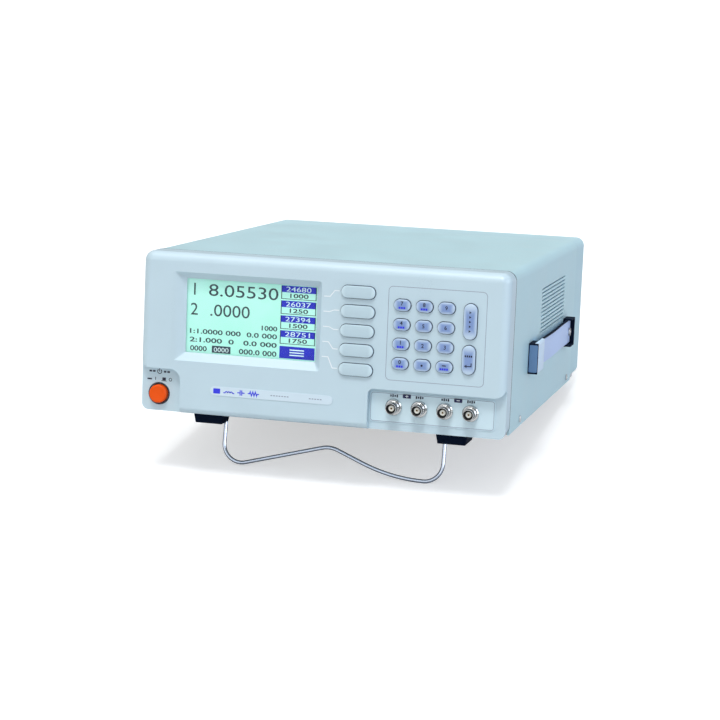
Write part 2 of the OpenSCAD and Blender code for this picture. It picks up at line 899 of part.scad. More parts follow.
// Space swept by one bail leg at the inner end of its foot.
// Its leaning front wall is the open bail's stop.
module bail_slot() {
    z_top = pivot_z + wire_d / 2 + 1;
    z_low = -foot_h - 1;
    y_stop = pivot_y - wire_d / 2 - 0.3;
    y_open = y_foot_front + foot_d + 1;
    side_plate(foot_x - foot_w / 2 - 1, bail_x + slot_half + 1) polygon([
        [y_stop, z_top], [y_stop, pivot_z], [y_stop - tan(bail_lean) * (pivot_z - z_low), z_low],
        [y_open, z_low], [y_open, z_top]
    ]);
}

module front_feet() {
    color([0.09, 0.13, 0.22]) difference() {
        at_front_feet() foot_body();
        for (s = [0, 1]) mirror([s, 0, 0]) {
            bail_slot();
            translate([0, pivot_y, pivot_z])
                x_rod_shape(wire_d / 2 + pin_clear, bail_x + slot_half, bail_x + pin_len + bail_bend + 1);
        }
    }
}

module rear_feet() {
    color([0.09, 0.13, 0.22]) at_rear_feet() foot_body();
}

module foot_screws() {
    color("silver") at_feet() translate([0, foot_d / 2, 0]) difference() {
        union() {
            translate([0, 0, -6.4]) cylinder(r = 3, h = 2.4);
            translate([0, 0, -4 - eps]) cylinder(r = 1.5, h = 10);
        }
        for (a = [0, 90]) translate([0, 0, -6.4]) rotate([0, 0, a]) cube([3.6, 0.7, 1.6], center = true);
    }
}

// Angle of the line from p to q
function heading(p, q) = atan2(q[1] - p[1], q[0] - p[0]);
// Signed turn from heading a to heading b, between -180 and 180
function turn(a, b) = (b - a + 540) % 360 - 180;

// Round wire bent through the points p in the XZ plane, with a bend radius at each point.
// The straight runs are a hair thinner and reach a little into the bends, so that they join cleanly.
module bent_wire(p, radii, d) {
    n = len(p);
    reach = 0.2;
    // length that each bend takes off its two straight runs
    cut = [for (i = [0:n - 1]) i == 0 || i == n - 1 ? 0
        : radii[i] * tan(abs(turn(heading(p[i - 1], p[i]), heading(p[i], p[i + 1]))) / 2)];
    for (i = [0:n - 2]) {
        h = heading(p[i], p[i + 1]);
        run = norm(p[i + 1] - p[i]) - cut[i] - cut[i + 1] + 2 * reach;
        start = p[i] + (cut[i] - reach) * [cos(h), sin(h)];
        translate([start[0], 0, start[1]]) rotate([0, 90 - h, 0]) cylinder(r = d / 2 - eps, h = run);
    }
    for (i = [1:n - 2]) {
        h0 = heading(p[i - 1], p[i]);
        t = turn(h0, heading(p[i], p[i + 1]));
        side = sign(t);
        start = p[i] - cut[i] * [cos(h0), sin(h0)];
        centre = start + side * radii[i] * [-sin(h0), cos(h0)];
        a0 = h0 - side * 90;
        translate([centre[0], 0, centre[1]]) rotate([90, 0, 0]) rotate([0, 0, min(a0, a0 + t)])
            rotate_extrude(angle = abs(t)) translate([radii[i], 0]) circle(d / 2);
    }
}

// Tilt bail, modelled open; its middle rises to clear the fingers
module tilt_bail() {
    drop = -0.5;
    x_pin = bail_x + pin_len;
    path = [
        [-x_pin, 0], [-bail_x, 0], [-bail_x, -45.1 + drop], [-2.4, -18.7 + drop],
        [54, -41.4 + drop], [bail_x, -41.9 + drop], [bail_x, 0], [x_pin, 0]
    ];
    radii = [0, bail_bend, 16.5, 22, 150, 16.5, bail_bend, 0];
    color("silver") translate([0, pivot_y, pivot_z]) rotate([-bail_lean, 0, 0])
        bent_wire(path, radii, wire_d);
}

// ---------- Handle ----------

// Places its child at each handle screw
module at_handle_screws() {
    for (s = [-1, 1]) translate([0, handle_y + s * (handle_len - bracket_len) / 2, handle_z]) children();
}

// Three-sided bracket that holds one end of the strap; the end wall is on its -Y side
module handle_bracket(rail) {
    translate([half_w, -bracket_len / 2, -bracket_w / 2]) {
        cube([bracket_base, bracket_len, bracket_w]);
        cube([handle_proud, bracket_wall, bracket_w]);
        for (z = [0, bracket_w - bracket_wall])
            translate([0, 0, z]) cube([rail, bracket_len, bracket_wall]);
    }
}

module handle_brackets() {
    color([0.10, 0.14, 0.24]) for (s = [0, 1])
        translate([0, handle_y, handle_z]) mirror([0, s, 0])
            translate([0, -(handle_len - bracket_len) / 2, 0]) difference() {
                handle_bracket(s == 0 ? bracket_rail : handle_proud);
                x_rod_shape(handle_hole_r, half_w - 1, half_w + 5);
            }
}

// Height of the strap's inner face above the brackets' bases, at y from its middle
function strap_rise(y) = strap_bow * (1 - pow(sin(90 * min(1, abs(y) / (strap_len / 2 - strap_end))), 2));

// Bowed band; a thick cap covers its front bracket and the rear end lies low in its bracket
module handle_strap() {
    ys = [for (i = [0:strap_steps]) -strap_len / 2 + i * strap_len / strap_steps];
    inner = [for (y = ys) [strap_rise(y), y]];
    outer = [for (i = [strap_steps:-1:0]) [strap_rise(ys[i]) + strap_t, ys[i]]];
    color([0.74, 0.78, 0.88]) difference() {
        translate([half_w + bracket_base, handle_y, handle_z - strap_w / 2]) union() {
            linear_extrude(strap_w) polygon(concat(inner, outer));
            translate([0, -strap_len / 2, 0]) cube([strap_end_t, strap_end, strap_w]);
            translate([bracket_rail - bracket_base + 0.2, -strap_len / 2, (strap_w - bracket_w) / 2])
                cube([strap_end_t - (bracket_rail - bracket_base + 0.2), strap_end, bracket_w]);
        }
        at_handle_screws() {
            x_rod_shape(handle_hole_r, half_w, half_w + 12);
            x_rod_shape(4.4, half_w + bracket_base + strap_t, half_w + 12);
        }
    }
}

module handle_screws() {
    head = half_w + bracket_base + strap_t;
    color("silver") at_handle_screws() difference() {
        union() {
            x_rod_shape(4, head, head + 1.8);
            x_rod_shape(1.95, half_w - 7, head + eps);
        }
        for (a = [0, 90]) translate([head + 1.8, 0, 0]) rotate([a, 0, 0])
            cube([1.6, 4.4, 0.8], center = true);
    }
}

// ---------- Output ----------

front_bezel();
top_cover();
bottom_pan();
rear_frame();
rear_panel();
front_subpanel();
lcd_window();
lcd_glass();
lcd_module();
label_strip();
terminal_plate();
softkey_1();
softkey_2();
softkey_3();
softkey_4();
softkey_5();
key_0();
key_1();
key_2();
key_3();
key_4();
key_5();
key_6();
key_7();
key_8();
key_9();
key_point();
key_sign();
start_key();
enter_key();
key_board();
tact_switches();
power_button();
power_rod();
power_switch();
bnc_shells();
bnc_insulators();
bnc_contacts();
bnc_nuts();
main_board();
analog_shield();
transformer_core();
transformer_coil();
heatsink();
capacitors();
mains_inlet();
fuse_drawer();
serial_port();
port_screws();
earth_post();
front_feet();
rear_feet();
tilt_bail();
handle_strap();
handle_brackets();
handle_screws();
cover_screws();
foot_screws();
ribbon_cable();
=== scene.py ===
"""Looks of a bench LCR meter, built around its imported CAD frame."""

import json
import math
from contextlib import contextmanager

import bmesh
import bpy
from mathutils import Matrix, Vector


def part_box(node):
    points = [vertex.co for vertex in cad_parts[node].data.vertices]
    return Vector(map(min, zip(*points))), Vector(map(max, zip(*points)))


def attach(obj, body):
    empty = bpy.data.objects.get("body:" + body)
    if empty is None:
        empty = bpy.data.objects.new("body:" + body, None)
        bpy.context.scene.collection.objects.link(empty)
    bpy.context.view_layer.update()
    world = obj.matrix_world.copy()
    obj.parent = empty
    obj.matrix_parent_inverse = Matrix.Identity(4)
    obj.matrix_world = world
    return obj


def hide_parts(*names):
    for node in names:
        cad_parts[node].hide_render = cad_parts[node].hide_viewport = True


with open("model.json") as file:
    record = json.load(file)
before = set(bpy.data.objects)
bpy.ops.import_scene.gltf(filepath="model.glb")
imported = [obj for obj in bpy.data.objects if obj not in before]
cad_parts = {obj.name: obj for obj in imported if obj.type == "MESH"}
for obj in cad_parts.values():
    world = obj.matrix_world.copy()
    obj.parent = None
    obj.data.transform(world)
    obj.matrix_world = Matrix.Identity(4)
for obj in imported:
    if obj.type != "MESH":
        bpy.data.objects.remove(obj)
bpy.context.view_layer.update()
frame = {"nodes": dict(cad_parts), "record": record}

MM = 0.001
CASE = "case"
SMOOTH_ANGLE = math.radians(35)

# Camera: the photograph's viewing angle
CAMERA_PLACE = Vector((0.4542, -1.8211, 0.3109))
CAMERA_LOOK = Vector((-0.24738, 0.95736, -0.14923))
CAMERA_UP = Vector((-0.07587, 0.13441, 0.98802))
LENS_MM = 101.0

SLOT_OF = {part["node"]: part["material_slot"] for part in frame["record"]["subparts"]}


def corner(node):
    """Lowest and highest corner of a CAD node, in millimetres."""
    low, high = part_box(node)
    return low / MM, high / MM


def middle(node):
    """Middle (x, z) of a CAD node as seen from the front, in millimetres."""
    low, high = corner(node)
    return (low.x + high.x) / 2, (low.z + high.z) / 2


glass_low, glass_high = corner("lcd_glass")
plate_low, plate_high = corner("terminal_plate")
strip_low, strip_high = corner("label_strip")

# Y of the bezel's front face, of its recess floors and of the rear panel, and the height of printing
FACE = corner("front_bezel")[0].y
RECESS = plate_high.y
PANEL = corner("rear_panel")[1].y
PRINT = 0.06


# ---------- Node helpers ----------

def srgb(red, green, blue):
    """Linear colour from 0-255 display values."""
    def linear(value):
        share = value / 255
        return share / 12.92 if share <= 0.04045 else ((share + 0.055) / 1.055) ** 2.4
    return (linear(red), linear(green), linear(blue), 1.0)


def shade(colour, share):
    """The colour made lighter (share above 1) or darker."""
    return tuple(min(1.0, channel * share) for channel in colour[:3]) + (1.0,)


def feed(node, inputs):
    """Links or sets inputs of a node."""
    for key, value in inputs.items():
        if isinstance(value, bpy.types.NodeSocket):
            node.id_data.links.new(value, node.inputs[key])
        else:
            node.inputs[key].default_value = value


def add(tree, kind, inputs=None, **settings):
    """Adds a node with its settings and inputs."""
    node = tree.nodes.new(kind)
    for key, value in settings.items():
        setattr(node, key, value)
    feed(node, inputs or {})
    return node


def new_material(name):
    """An empty principled material: (material, tree, shader)."""
    material = bpy.data.materials.new(name)
    material.use_nodes = True
    tree = material.node_tree
    return material, tree, tree.nodes["Principled BSDF"]


def object_coords(tree, stretch=(1, 1, 1)):
    """Object coordinates in metres, squeezed by stretch."""
    coords = add(tree, "ShaderNodeTexCoord").outputs["Object"]
    return add(tree, "ShaderNodeMapping", {"Vector": coords, "Scale": stretch}).outputs["Vector"]


def noise(coords, scale, detail=3.0):
    """Value of a noise texture."""
    inputs = {"Vector": coords, "Scale": scale, "Detail": detail}
    return add(coords.id_data, "ShaderNodeTexNoise", inputs).outputs["Fac"]


def between(value, low, high, new_low=0.0, new_high=1.0):
    """Maps a value from one range to another."""
    inputs = {"Value": value, "From Min": low, "From Max": high, "To Min": new_low, "To Max": new_high}
    return add(value.id_data, "ShaderNodeMapRange", inputs).outputs["Result"]


def blend_colours(factor, first, second):
    """Mix of two colours by factor."""
    inputs = {0: factor, 6: first, 7: second}
    return add(factor.id_data, "ShaderNodeMix", inputs, data_type="RGBA").outputs[2]


def math_node(operation, first, second=0.0):
    """Result of a maths node; one of the two values is a socket."""
    tree = (first if isinstance(first, bpy.types.NodeSocket) else second).id_data
    return add(tree, "ShaderNodeMath", {0: first, 1: second}, operation=operation).outputs[0]


def edge_mask(tree, radius_mm):
    """1 on edges sharper than the radius, 0 on flat ground."""
    rounded = add(tree, "ShaderNodeBevel", {"Radius": radius_mm * MM}, samples=4).outputs["Normal"]
    plain = add(tree, "ShaderNodeNewGeometry").outputs["Normal"]
    dot = add(tree, "ShaderNodeVectorMath", {0: rounded, 1: plain}, operation="DOT_PRODUCT").outputs["Value"]
    return between(dot, 0.995, 0.8)


def emboss(shader, height, depth_mm):
    """Gives the shader a bump of that depth from a height pattern."""
    bump = add(height.id_data, "ShaderNodeBump", {"Height": height, "Distance": depth_mm * MM})
    feed(shader, {"Normal": bump.outputs["Normal"]})


def surface(name, colour, roughness, grain_mm, depth_mm, variation, metallic=0.0, wear=0.0):
    """A finish with grain in its bump, patchy colour, uneven roughness and lighter worn edges."""
    material, tree, shader = new_material(name)
    coords = object_coords(tree, BRUSHED.get(name, (1, 1, 1)))
    fine = noise(coords, 1 / (grain_mm * MM))
    patches = noise(object_coords(tree), 22.0, 5.0)
    tone = blend_colours(between(patches, 0.3, 0.7), shade(colour, 1 - variation),
                         shade(colour, 1 + variation))
    if wear:
        mask = math_node("MULTIPLY", edge_mask(tree, 0.5), wear)
        tone = blend_colours(mask, tone, shade(colour, 1.35))
    rough = math_node("ADD", between(patches, 0.3, 0.7, -0.05, 0.05),
                      between(fine, 0.2, 0.8, roughness - 0.06, roughness + 0.06))
    feed(shader, {"Base Color": tone, "Roughness": rough, "Metallic": metallic})
    emboss(shader, fine, depth_mm)
    if name in SPECULAR:
        feed(shader, {"Specular IOR Level": SPECULAR[name]})
    return material


# ---------- Materials ----------

PIXEL_MM = 0.48


def pixel_grid(tree, coords):
    """1 on the fine lines between the display's pixels."""
    parts = add(tree, "ShaderNodeSeparateXYZ", {"Vector": coords})
    lines = []
    for axis in ("X", "Z"):
        cell = math_node("FRACT", math_node("DIVIDE", parts.outputs[axis], PIXEL_MM * MM))
        lines.append(math_node("LESS_THAN", cell, 0.14))
    return math_node("MAXIMUM", lines[0], lines[1])


def light_up(shader, tone, grid, strength, roughness):
    """A colour that also glows a little, with the pixel grid as its relief."""
    feed(shader, {"Base Color": tone, "Emission Color": tone, "Emission Strength": strength,
                  "Roughness": roughness})
    emboss(shader, grid, 0.01)


def screen_glass():
    """Backlit liquid crystal with a faint pixel grid and slightly uneven light."""
    material, tree, shader = new_material("lcd_backlight")
    coords = object_coords(tree)
    grid = pixel_grid(tree, coords)
    patches = noise(coords, 18.0)
    lit = blend_colours(between(patches, 0.35, 0.65), srgb(186, 245, 232), srgb(200, 249, 241))
    tone = blend_colours(math_node("MULTIPLY", grid, 0.35), lit, srgb(150, 225, 205))
    light_up(shader, tone, grid, 0.15, 0.45)
    return material


def screen_ink(name, colour, grid_share=0.3):
    """Dark liquid crystal segments with the pixel grid showing through."""
    material, tree, shader = new_material(name)
    coords = object_coords(tree)
    grid = pixel_grid(tree, coords)
    patches = between(noise(coords, 120.0), 0.3, 0.7)
    tone = blend_colours(patches, colour, shade(colour, 1.3))
    tone = blend_colours(math_node("MULTIPLY", grid, grid_share), tone, srgb(120, 160, 170))
    light_up(shader, tone, grid, 0.12, 0.6)
    return material


def window_plastic():
    """Thin clear acrylic: mostly see-through, with a soft reflection and faint haze."""
    material, tree, shader = new_material("window_acrylic")
    tree.nodes.remove(shader)
    coords = object_coords(tree)
    haze = noise(coords, 900.0)
    bump = add(tree, "ShaderNodeBump", {"Height": haze, "Distance": 0.002 * MM}).outputs["Normal"]
    rough = between(noise(coords, 40.0), 0.3, 0.7, 0.06, 0.16)
    clear = add(tree, "ShaderNodeBsdfTransparent", {"Color": (0.97, 1.0, 0.99, 1.0)}).outputs[0]
    gloss = add(tree, "ShaderNodeBsdfGlossy", {"Roughness": rough, "Normal": bump}).outputs[0]
    facing_out = math_node("SUBTRACT", 1.0, add(tree, "ShaderNodeNewGeometry").outputs["Backfacing"])
    edge = math_node("MULTIPLY", add(tree, "ShaderNodeFresnel", {"IOR": 1.35}).outputs[0], facing_out)
    mixed = add(tree, "ShaderNodeMixShader", {0: edge, 1: clear, 2: gloss}).outputs[0]
    feed(tree.nodes["Material Output"], {"Surface": mixed})
    return material


def key_plastic(name, centre, rim, spread, side):
    """Keycap with a deeper middle, a paler rim, painted shade on its sides, fine grain and worn edges."""
    centre, rim, side = srgb(*centre), srgb(*rim), srgb(*side)
    material, tree, shader = new_material(name)
    coords = add(tree, "ShaderNodeTexCoord")
    parts = add(tree, "ShaderNodeSeparateXYZ", {"Vector": coords.outputs["Generated"]})
    across = math_node("ABSOLUTE", math_node("SUBTRACT", parts.outputs["X"], 0.5))
    upward = math_node("ABSOLUTE", math_node("SUBTRACT", parts.outputs["Z"], 0.5))
    reach = math_node("MAXIMUM", across, upward)
    falloff = add(tree, "ShaderNodeMapRange", {"Value": reach, "From Min": spread, "From Max": 0.42},
                  interpolation_type="SMOOTHSTEP").outputs["Result"]
    fine = noise(object_coords(tree), 1400.0)
    tone = blend_colours(falloff, centre, rim)
    tone = blend_colours(math_node("MULTIPLY", edge_mask(tree, 0.4), 0.3), tone, shade(rim, 1.2))
    tone = blend_colours(between(fine, 0.3, 0.7, 0.0, 0.12), tone, shade(centre, 0.8))
    # painted shade: faces turned away from the front blend into the darker side colour
    normal = add(tree, "ShaderNodeNewGeometry").outputs["Normal"]
    facing = math_node("ABSOLUTE", add(tree, "ShaderNodeSeparateXYZ", {"Vector": normal}).outputs["Y"])
    tone = blend_colours(between(facing, 0.7, 0.2, 0.0, 0.85), tone, side)
    feed(shader, {"Base Color": tone, "Roughness": between(fine, 0.2, 0.8, 0.38, 0.5)})
    emboss(shader, fine, 0.008)
    return material


def paint_dark_reflection(material, rim):
    """Paints plating darker towards its outline, a painted reflection of a room with dark corners."""
    tree = material.node_tree
    shader = tree.nodes["Principled BSDF"]
    base = shader.inputs["Base Color"].links[0].from_socket
    facing = add(tree, "ShaderNodeLayerWeight", {"Blend": 0.5}).outputs["Facing"]
    feed(shader, {"Base Color": blend_colours(between(facing, 0.22, 0.6), base, rim)})


def board_green():
    """Solder mask with paler tracks and tinned pads."""
    material, tree, shader = new_material("solder_mask")
    coords = object_coords(tree)
    tracks = add(tree, "ShaderNodeTexVoronoi", {"Vector": coords, "Scale": 190.0},
                 feature="DISTANCE_TO_EDGE").outputs["Distance"]
    pads = add(tree, "ShaderNodeTexVoronoi", {"Vector": coords, "Scale": 260.0}).outputs["Distance"]
    track_mask = between(tracks, 0.07, 0.05)
    pad_mask = between(pads, 0.2, 0.16)
    tone = blend_colours(track_mask, srgb(14, 84, 46), srgb(34, 128, 72))
    tone = blend_colours(pad_mask, tone, srgb(190, 190, 180))
    feed(shader, {"Base Color": tone, "Metallic": pad_mask, "Roughness": 0.32})
    emboss(shader, math_node("MAXIMUM", track_mask, pad_mask), 0.04)
    return material


def layered(name, first, second, axis, pitch_mm, roughness, metallic=0.0):
    """Fine parallel layers or windings along one axis."""
    material, tree, shader = new_material(name)
    coords = object_coords(tree)
    parts = add(tree, "ShaderNodeSeparateXYZ", {"Vector": coords})
    wobble = math_node("MULTIPLY", noise(coords, 90.0), 0.4)
    turns = math_node("ADD", math_node("DIVIDE", parts.outputs[axis], pitch_mm * MM), wobble)
    wave = math_node("ABSOLUTE", math_node("SUBTRACT", math_node("FRACT", turns), 0.5))
    tone = blend_colours(between(wave, 0.1, 0.5), first, second)
    rough = between(wave, 0.0, 0.5, roughness - 0.1, roughness + 0.1)
    feed(shader, {"Base Color": tone, "Roughness": rough, "Metallic": metallic})
    emboss(shader, wave, 0.08)
    return material


INK = (0.5, 0.3, 0.004)

# Plain finishes: display colour, roughness, grain and bump depth in mm, colour variation, metallic, wear
FINISHES = {
    "bezel_plastic": (192, 214, 224, 0.34, 0.7, 0.012, 0.015, 0, 0.25),
    "painted_steel": (186, 219, 226, 0.42, 1.1, 0.02, 0.02, 0, 0.25),
    "rear_plastic": (185, 217, 225, 0.5, 0.7, 0.015, 0.02, 0, 0.25),
    "plated_steel": (196, 202, 206, 0.38, 3.0, 0.01, 0.08, 0.85),
    "dark_metal": (52, 54, 58, 0.5, 0.5, 0.01, 0.06, 0, 0.4),
    "label": (203, 226, 235, 0.36, 0.5, 0.006, 0.01),
    "black_plastic": (30, 31, 34, 0.45, 0.6, 0.015, 0.08, 0, 0.3),
    "orange_plastic": (236, 84, 4, 0.35, 0.6, 0.006, 0.03, 0, 0.1),
    "zinc_steel": (205, 207, 210, 0.28, 0.5, 0.01, 0.06, 1, 0.3),
    "nickel": (226, 227, 226, 0.12, 1.2, 0.004, 0.03, 1),
    "white_plastic": (236, 236, 228, 0.35, 0.5, 0.006, 0.02),
    "brass": (150, 126, 84, 0.22, 0.5, 0.005, 0.05, 1, 0.2),
    "aluminium": (176, 178, 182, 0.34, 0.5, 0.01, 0.05, 1),
    "foot_rubber": (2, 16, 38, 0.7, 0.5, 0.02, 0.08, 0, 0.3),
    "bail_wire": (206, 217, 234, 0.16, 1.2, 0.004, 0.03, 1),
    "strap_vinyl": (188, 209, 246, 0.48, 0.9, 0.03, 0.03, 0, 0.15),
    "strip_film": (206, 224, 235, 0.36, 0.5, 0.006, 0.01),
    # painted shadow along the seam between bezel and cover
    "seam_shadow": (52, 74, 84, 0.6, 0.5, 0.01, 0.05),
    "tinned_shell": (196, 198, 200, 0.42, 0.6, 0.006, 0.05, 0.85),
    # painted shadow for the inside of the BNC noses
    "painted_bore_shadow": (10, 11, 14, 0.5, 0.4, 0.01, 0.05),
    "cap_vinyl": (208, 229, 247, 0.42, 0.9, 0.02, 0.02, 0, 0.2),
    "slate": (94, 128, 168, 0.45, 0.6, 0.015, 0.05, 0, 0.3),
    # painted shadow for the gaps round the keys and the power button
    "shadow_ring": (44, 52, 66, 0.6, 0.4, 0.01, 0.05),
    "ink_dark": (24, 30, 54, *INK, 0.05),
    "ink_blue": (44, 52, 220, *INK, 0.05),
    "ink_navy": (18, 26, 78, *INK, 0.05),
    "ink_grey": (140, 152, 170, *INK, 0.05),
    "ink_light": (232, 240, 244, *INK, 0.02),
}
SPECULAR = {"orange_plastic": 0.2, "foot_rubber": 0.08}
BRUSHED = {"aluminium": (1, 30, 1)}

# Fine layers: two display colours, their axis, pitch in mm, roughness, metallic
LAYERS = {
    "core_steel": ((66, 68, 72), (104, 106, 110), "X", 0.5, 0.45, 0.8),
    "tape": ((214, 168, 56), (232, 196, 92), "Z", 3.2, 0.4, 0.0),
    "sleeve": ((26, 36, 78), (34, 48, 96), "Z", 6.0, 0.3, 0.0),
    "screen_mesh": ((120, 146, 166), (146, 172, 190), "Y", 1.2, 0.5, 0.3),
}


def make_materials():
    """Every finish by its name; those of the record's slots have the slot's name."""
    made = {name: surface(name, srgb(*row[:3]), *row[3:]) for name, row in FINISHES.items()}
    for name, (first, second, *rest) in LAYERS.items():
        made[name] = layered(name, srgb(*first), srgb(*second), *rest)
    # painted reflection: the nickel and the bail wire are painted darker towards their outlines
    paint_dark_reflection(made["nickel"], srgb(60, 64, 72))
    paint_dark_reflection(made["bail_wire"], srgb(20, 28, 50))
    return made | {
        "clear_window": window_plastic(),
        "display": screen_glass(),
        "circuit_board": board_green(),
        # the last colour of each key is the painted shade of its sides
        "soft_key": key_plastic("soft_key", (186, 209, 219), (202, 224, 233), 0.3, (92, 112, 130)),
        "keypad_key": key_plastic("keypad_key", (124, 150, 200), (196, 217, 234), 0.14, (66, 84, 112)),
        "lcd_dark": screen_ink("lcd_dark", srgb(30, 44, 54)),
        "lcd_black": screen_ink("lcd_black", srgb(22, 26, 52)),
        "lcd_blue": screen_ink("lcd_blue", srgb(8, 8, 178), 0.12),
        "lcd_pale": screen_ink("lcd_pale", srgb(214, 240, 250)),
    }


MATERIALS = make_materials()


# ---------- Mesh helpers ----------

def place(name, data):
    """A new object in the scene."""
    obj = bpy.data.objects.new(name, data)
    bpy.context.scene.collection.objects.link(obj)
    return obj


def finish_mesh(name, builder, material, body=CASE, instead_of=None):
    """Turns a bmesh into a named piece that rides on a body, and may stand for a CAD node."""
    bmesh.ops.remove_doubles(builder, verts=builder.verts, dist=1e-7)
    bmesh.ops.dissolve_degenerate(builder, dist=1e-7, edges=builder.edges)
    bmesh.ops.recalc_face_normals(builder, faces=builder.faces)
    mesh = bpy.data.meshes.new(name)
    builder.to_mesh(mesh)
    builder.free()
    mesh.shade_smooth()
    mesh.set_sharp_from_angle(angle=SMOOTH_ANGLE)
    mesh.materials.append(MATERIALS[material])
    made = place(name, mesh)
    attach(made, body)
    if instead_of:
        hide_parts(instead_of)


@contextmanager
def piece(name, material, slot=None, body=CASE, instead_of=None):
    """An empty bmesh for one piece, which is finished when the block ends."""
    builder = bmesh.new()
    yield builder
    finish_mesh(name, builder, material, body, instead_of)


def join_rings(builder, rings, closed=False):
    """Walls between rings of points in millimetres, all the way round if closed."""
    loops = [[builder.verts.new(Vector(point) * MM) for point in ring] for ring in rings]
    for first, second in zip(loops, loops[1:] + loops[:1] if closed else loops[1:]):
        for i, here in enumerate(first):
            builder.faces.new((first[i - 1], here, second[i], second[i - 1]))
    return loops


def loft(builder, rings):
    """A solid through rings of points, with both ends capped."""
    loops = join_rings(builder, rings)
    builder.faces.new(reversed(loops[0]))
    builder.faces.new(loops[-1])


def pill_ring(centre, y, width, height, radius=None, steps=10):
    """Ring of points round a pill or rounded rectangle that faces the front."""
    r = min(width, height) / 2 if radius is None else min(radius, width / 2, height / 2)
    ring = []
    for quarter, (sx, sz) in enumerate(((1, 1), (-1, 1), (-1, -1), (1, -1))):
        for step in range(steps + 1):
            angle = math.radians(90 * (quarter + step / steps))
            x = centre[0] + sx * (width / 2 - r) + r * math.cos(angle)
            z = centre[1] + sz * (height / 2 - r) + r * math.sin(angle)
            ring.append((x, y, z))
    return ring


def slab(builder, centre, width, height, y_front, y_back, radius=0.0, edge=0.0):
    """A flat plate facing the front, with rounded corners and an optional small edge round."""
    steps = [(y_back, 0), (y_front + edge, 0)] + ([(y_front, edge)] if edge else [])
    loft(builder, [pill_ring(centre, y, width - 2 * inset, height - 2 * inset, max(radius - inset, 0.001), 5)
                   for y, inset in steps])


def path_strip(builder, points, width, y_front, y_back):
    """A flat strip of even width along a line of (x, z) points."""
    left, right = [], []
    for i, point in enumerate(points):
        before = Vector(points[max(i - 1, 0)])
        after = Vector(points[min(i + 1, len(points) - 1)])
        here = Vector(point)
        into = (here - before).normalized() if i else (after - here).normalized()
        out = (after - here).normalized() if i < len(points) - 1 else into
        middle = (into + out).normalized()
        side = Vector((-middle.y, middle.x)) * width / 2 / max(middle.dot(into), 0.3)
        left.append(here + side)
        right.append(here - side)
    outline = left + right[::-1]
    loft(builder, [[(p.x, y, p.y) for p in outline] for y in (y_back, y_front)])


def ring_strip(builder, centre, radius, width, y_front, y_back, start=0.0, end=360.0, steps=32):
    """An arc or full ring of even width facing the front."""
    inner, outer = radius - width / 2, radius + width / 2
    section = ((inner, y_front), (outer, y_front), (outer, y_back), (inner, y_back))
    angles = [math.radians(start + (end - start) * i / steps) for i in range(steps + 1)]
    rings = [turned(centre, section, angle) for angle in angles]
    if end - start < 360:
        loft(builder, rings)
    else:
        join_rings(builder, rings[:-1], closed=True)


def hollow_ring(builder, centre, wide, tall, radius, width, y_front, y_back, steps=8):
    """A closed outline of even width that faces the front."""
    outer = (wide, tall, radius, steps)
    inner = (wide - 2 * width, tall - 2 * width, radius - width, steps)
    rings = ((y_back, outer), (y_front, outer), (y_front, inner), (y_back, inner))
    join_rings(builder, [pill_ring(centre, y, *outline) for y, outline in rings], closed=True)


def turned(centre, profile, angle):
    """(radius, y) points of a profile, turned by an angle round an axis along Y through centre (x, z)."""
    return [(centre[0] + r * math.cos(angle), y, centre[1] + r * math.sin(angle)) for r, y in profile]


def lathe(builder, centre, profile, steps=48):
    """A closed loop of (radius, y) points turned round an axis along Y through centre (x, z)."""
    rings = [turned(centre, profile, 2 * math.pi * step / steps) for step in range(steps)]
    join_rings(builder, rings, closed=True)


def quarter(steps, first=0):
    """Angles from 0 to 90 degrees, from step first on."""
    return [math.radians(90 * step / steps) for step in range(first, steps + 1)]


def glyph_mesh(builder, text, area, y_front, y_back, weight=0.0):
    """Characters from the built-in font as a thin print that fills area (x0, x1, z0, z1).
    A single character keeps its proportions and sits in the middle."""
    curve = bpy.data.curves.new("glyphs", "FONT")
    curve.body = text
    curve.resolution_u = 4
    curve.extrude = 0.5
    curve.offset = weight
    holder = place("glyphs", curve)
    depsgraph = bpy.context.evaluated_depsgraph_get()
    mesh = holder.evaluated_get(depsgraph).to_mesh()
    xs = [v.co.x for v in mesh.vertices]
    ys = [v.co.y for v in mesh.vertices]
    x0, x1, z0, z1 = area
    if len(text) == 1:
        half = (z1 - z0) * (max(xs) - min(xs)) / (max(ys) - min(ys)) / 2
        x0, x1 = (x0 + x1) / 2 - half, (x0 + x1) / 2 + half
    verts = []
    for v in mesh.vertices:
        x = x0 + (v.co.x - min(xs)) / (max(xs) - min(xs)) * (x1 - x0)
        z = z0 + (v.co.y - min(ys)) / (max(ys) - min(ys)) * (z1 - z0)
        y = y_front if v.co.z > 0 else y_back
        verts.append(builder.verts.new(Vector((x, y, z)) * MM))
    for polygon in mesh.polygons:
        corners = [verts[i] for i in polygon.vertices]
        if len(set(corners)) == len(corners) and not builder.faces.get(corners):
            builder.faces.new(corners)
    holder.evaluated_get(depsgraph).to_mesh_clear()
    bpy.data.objects.remove(holder)
    bpy.data.curves.remove(curve)


# ---------- CAD nodes ----------

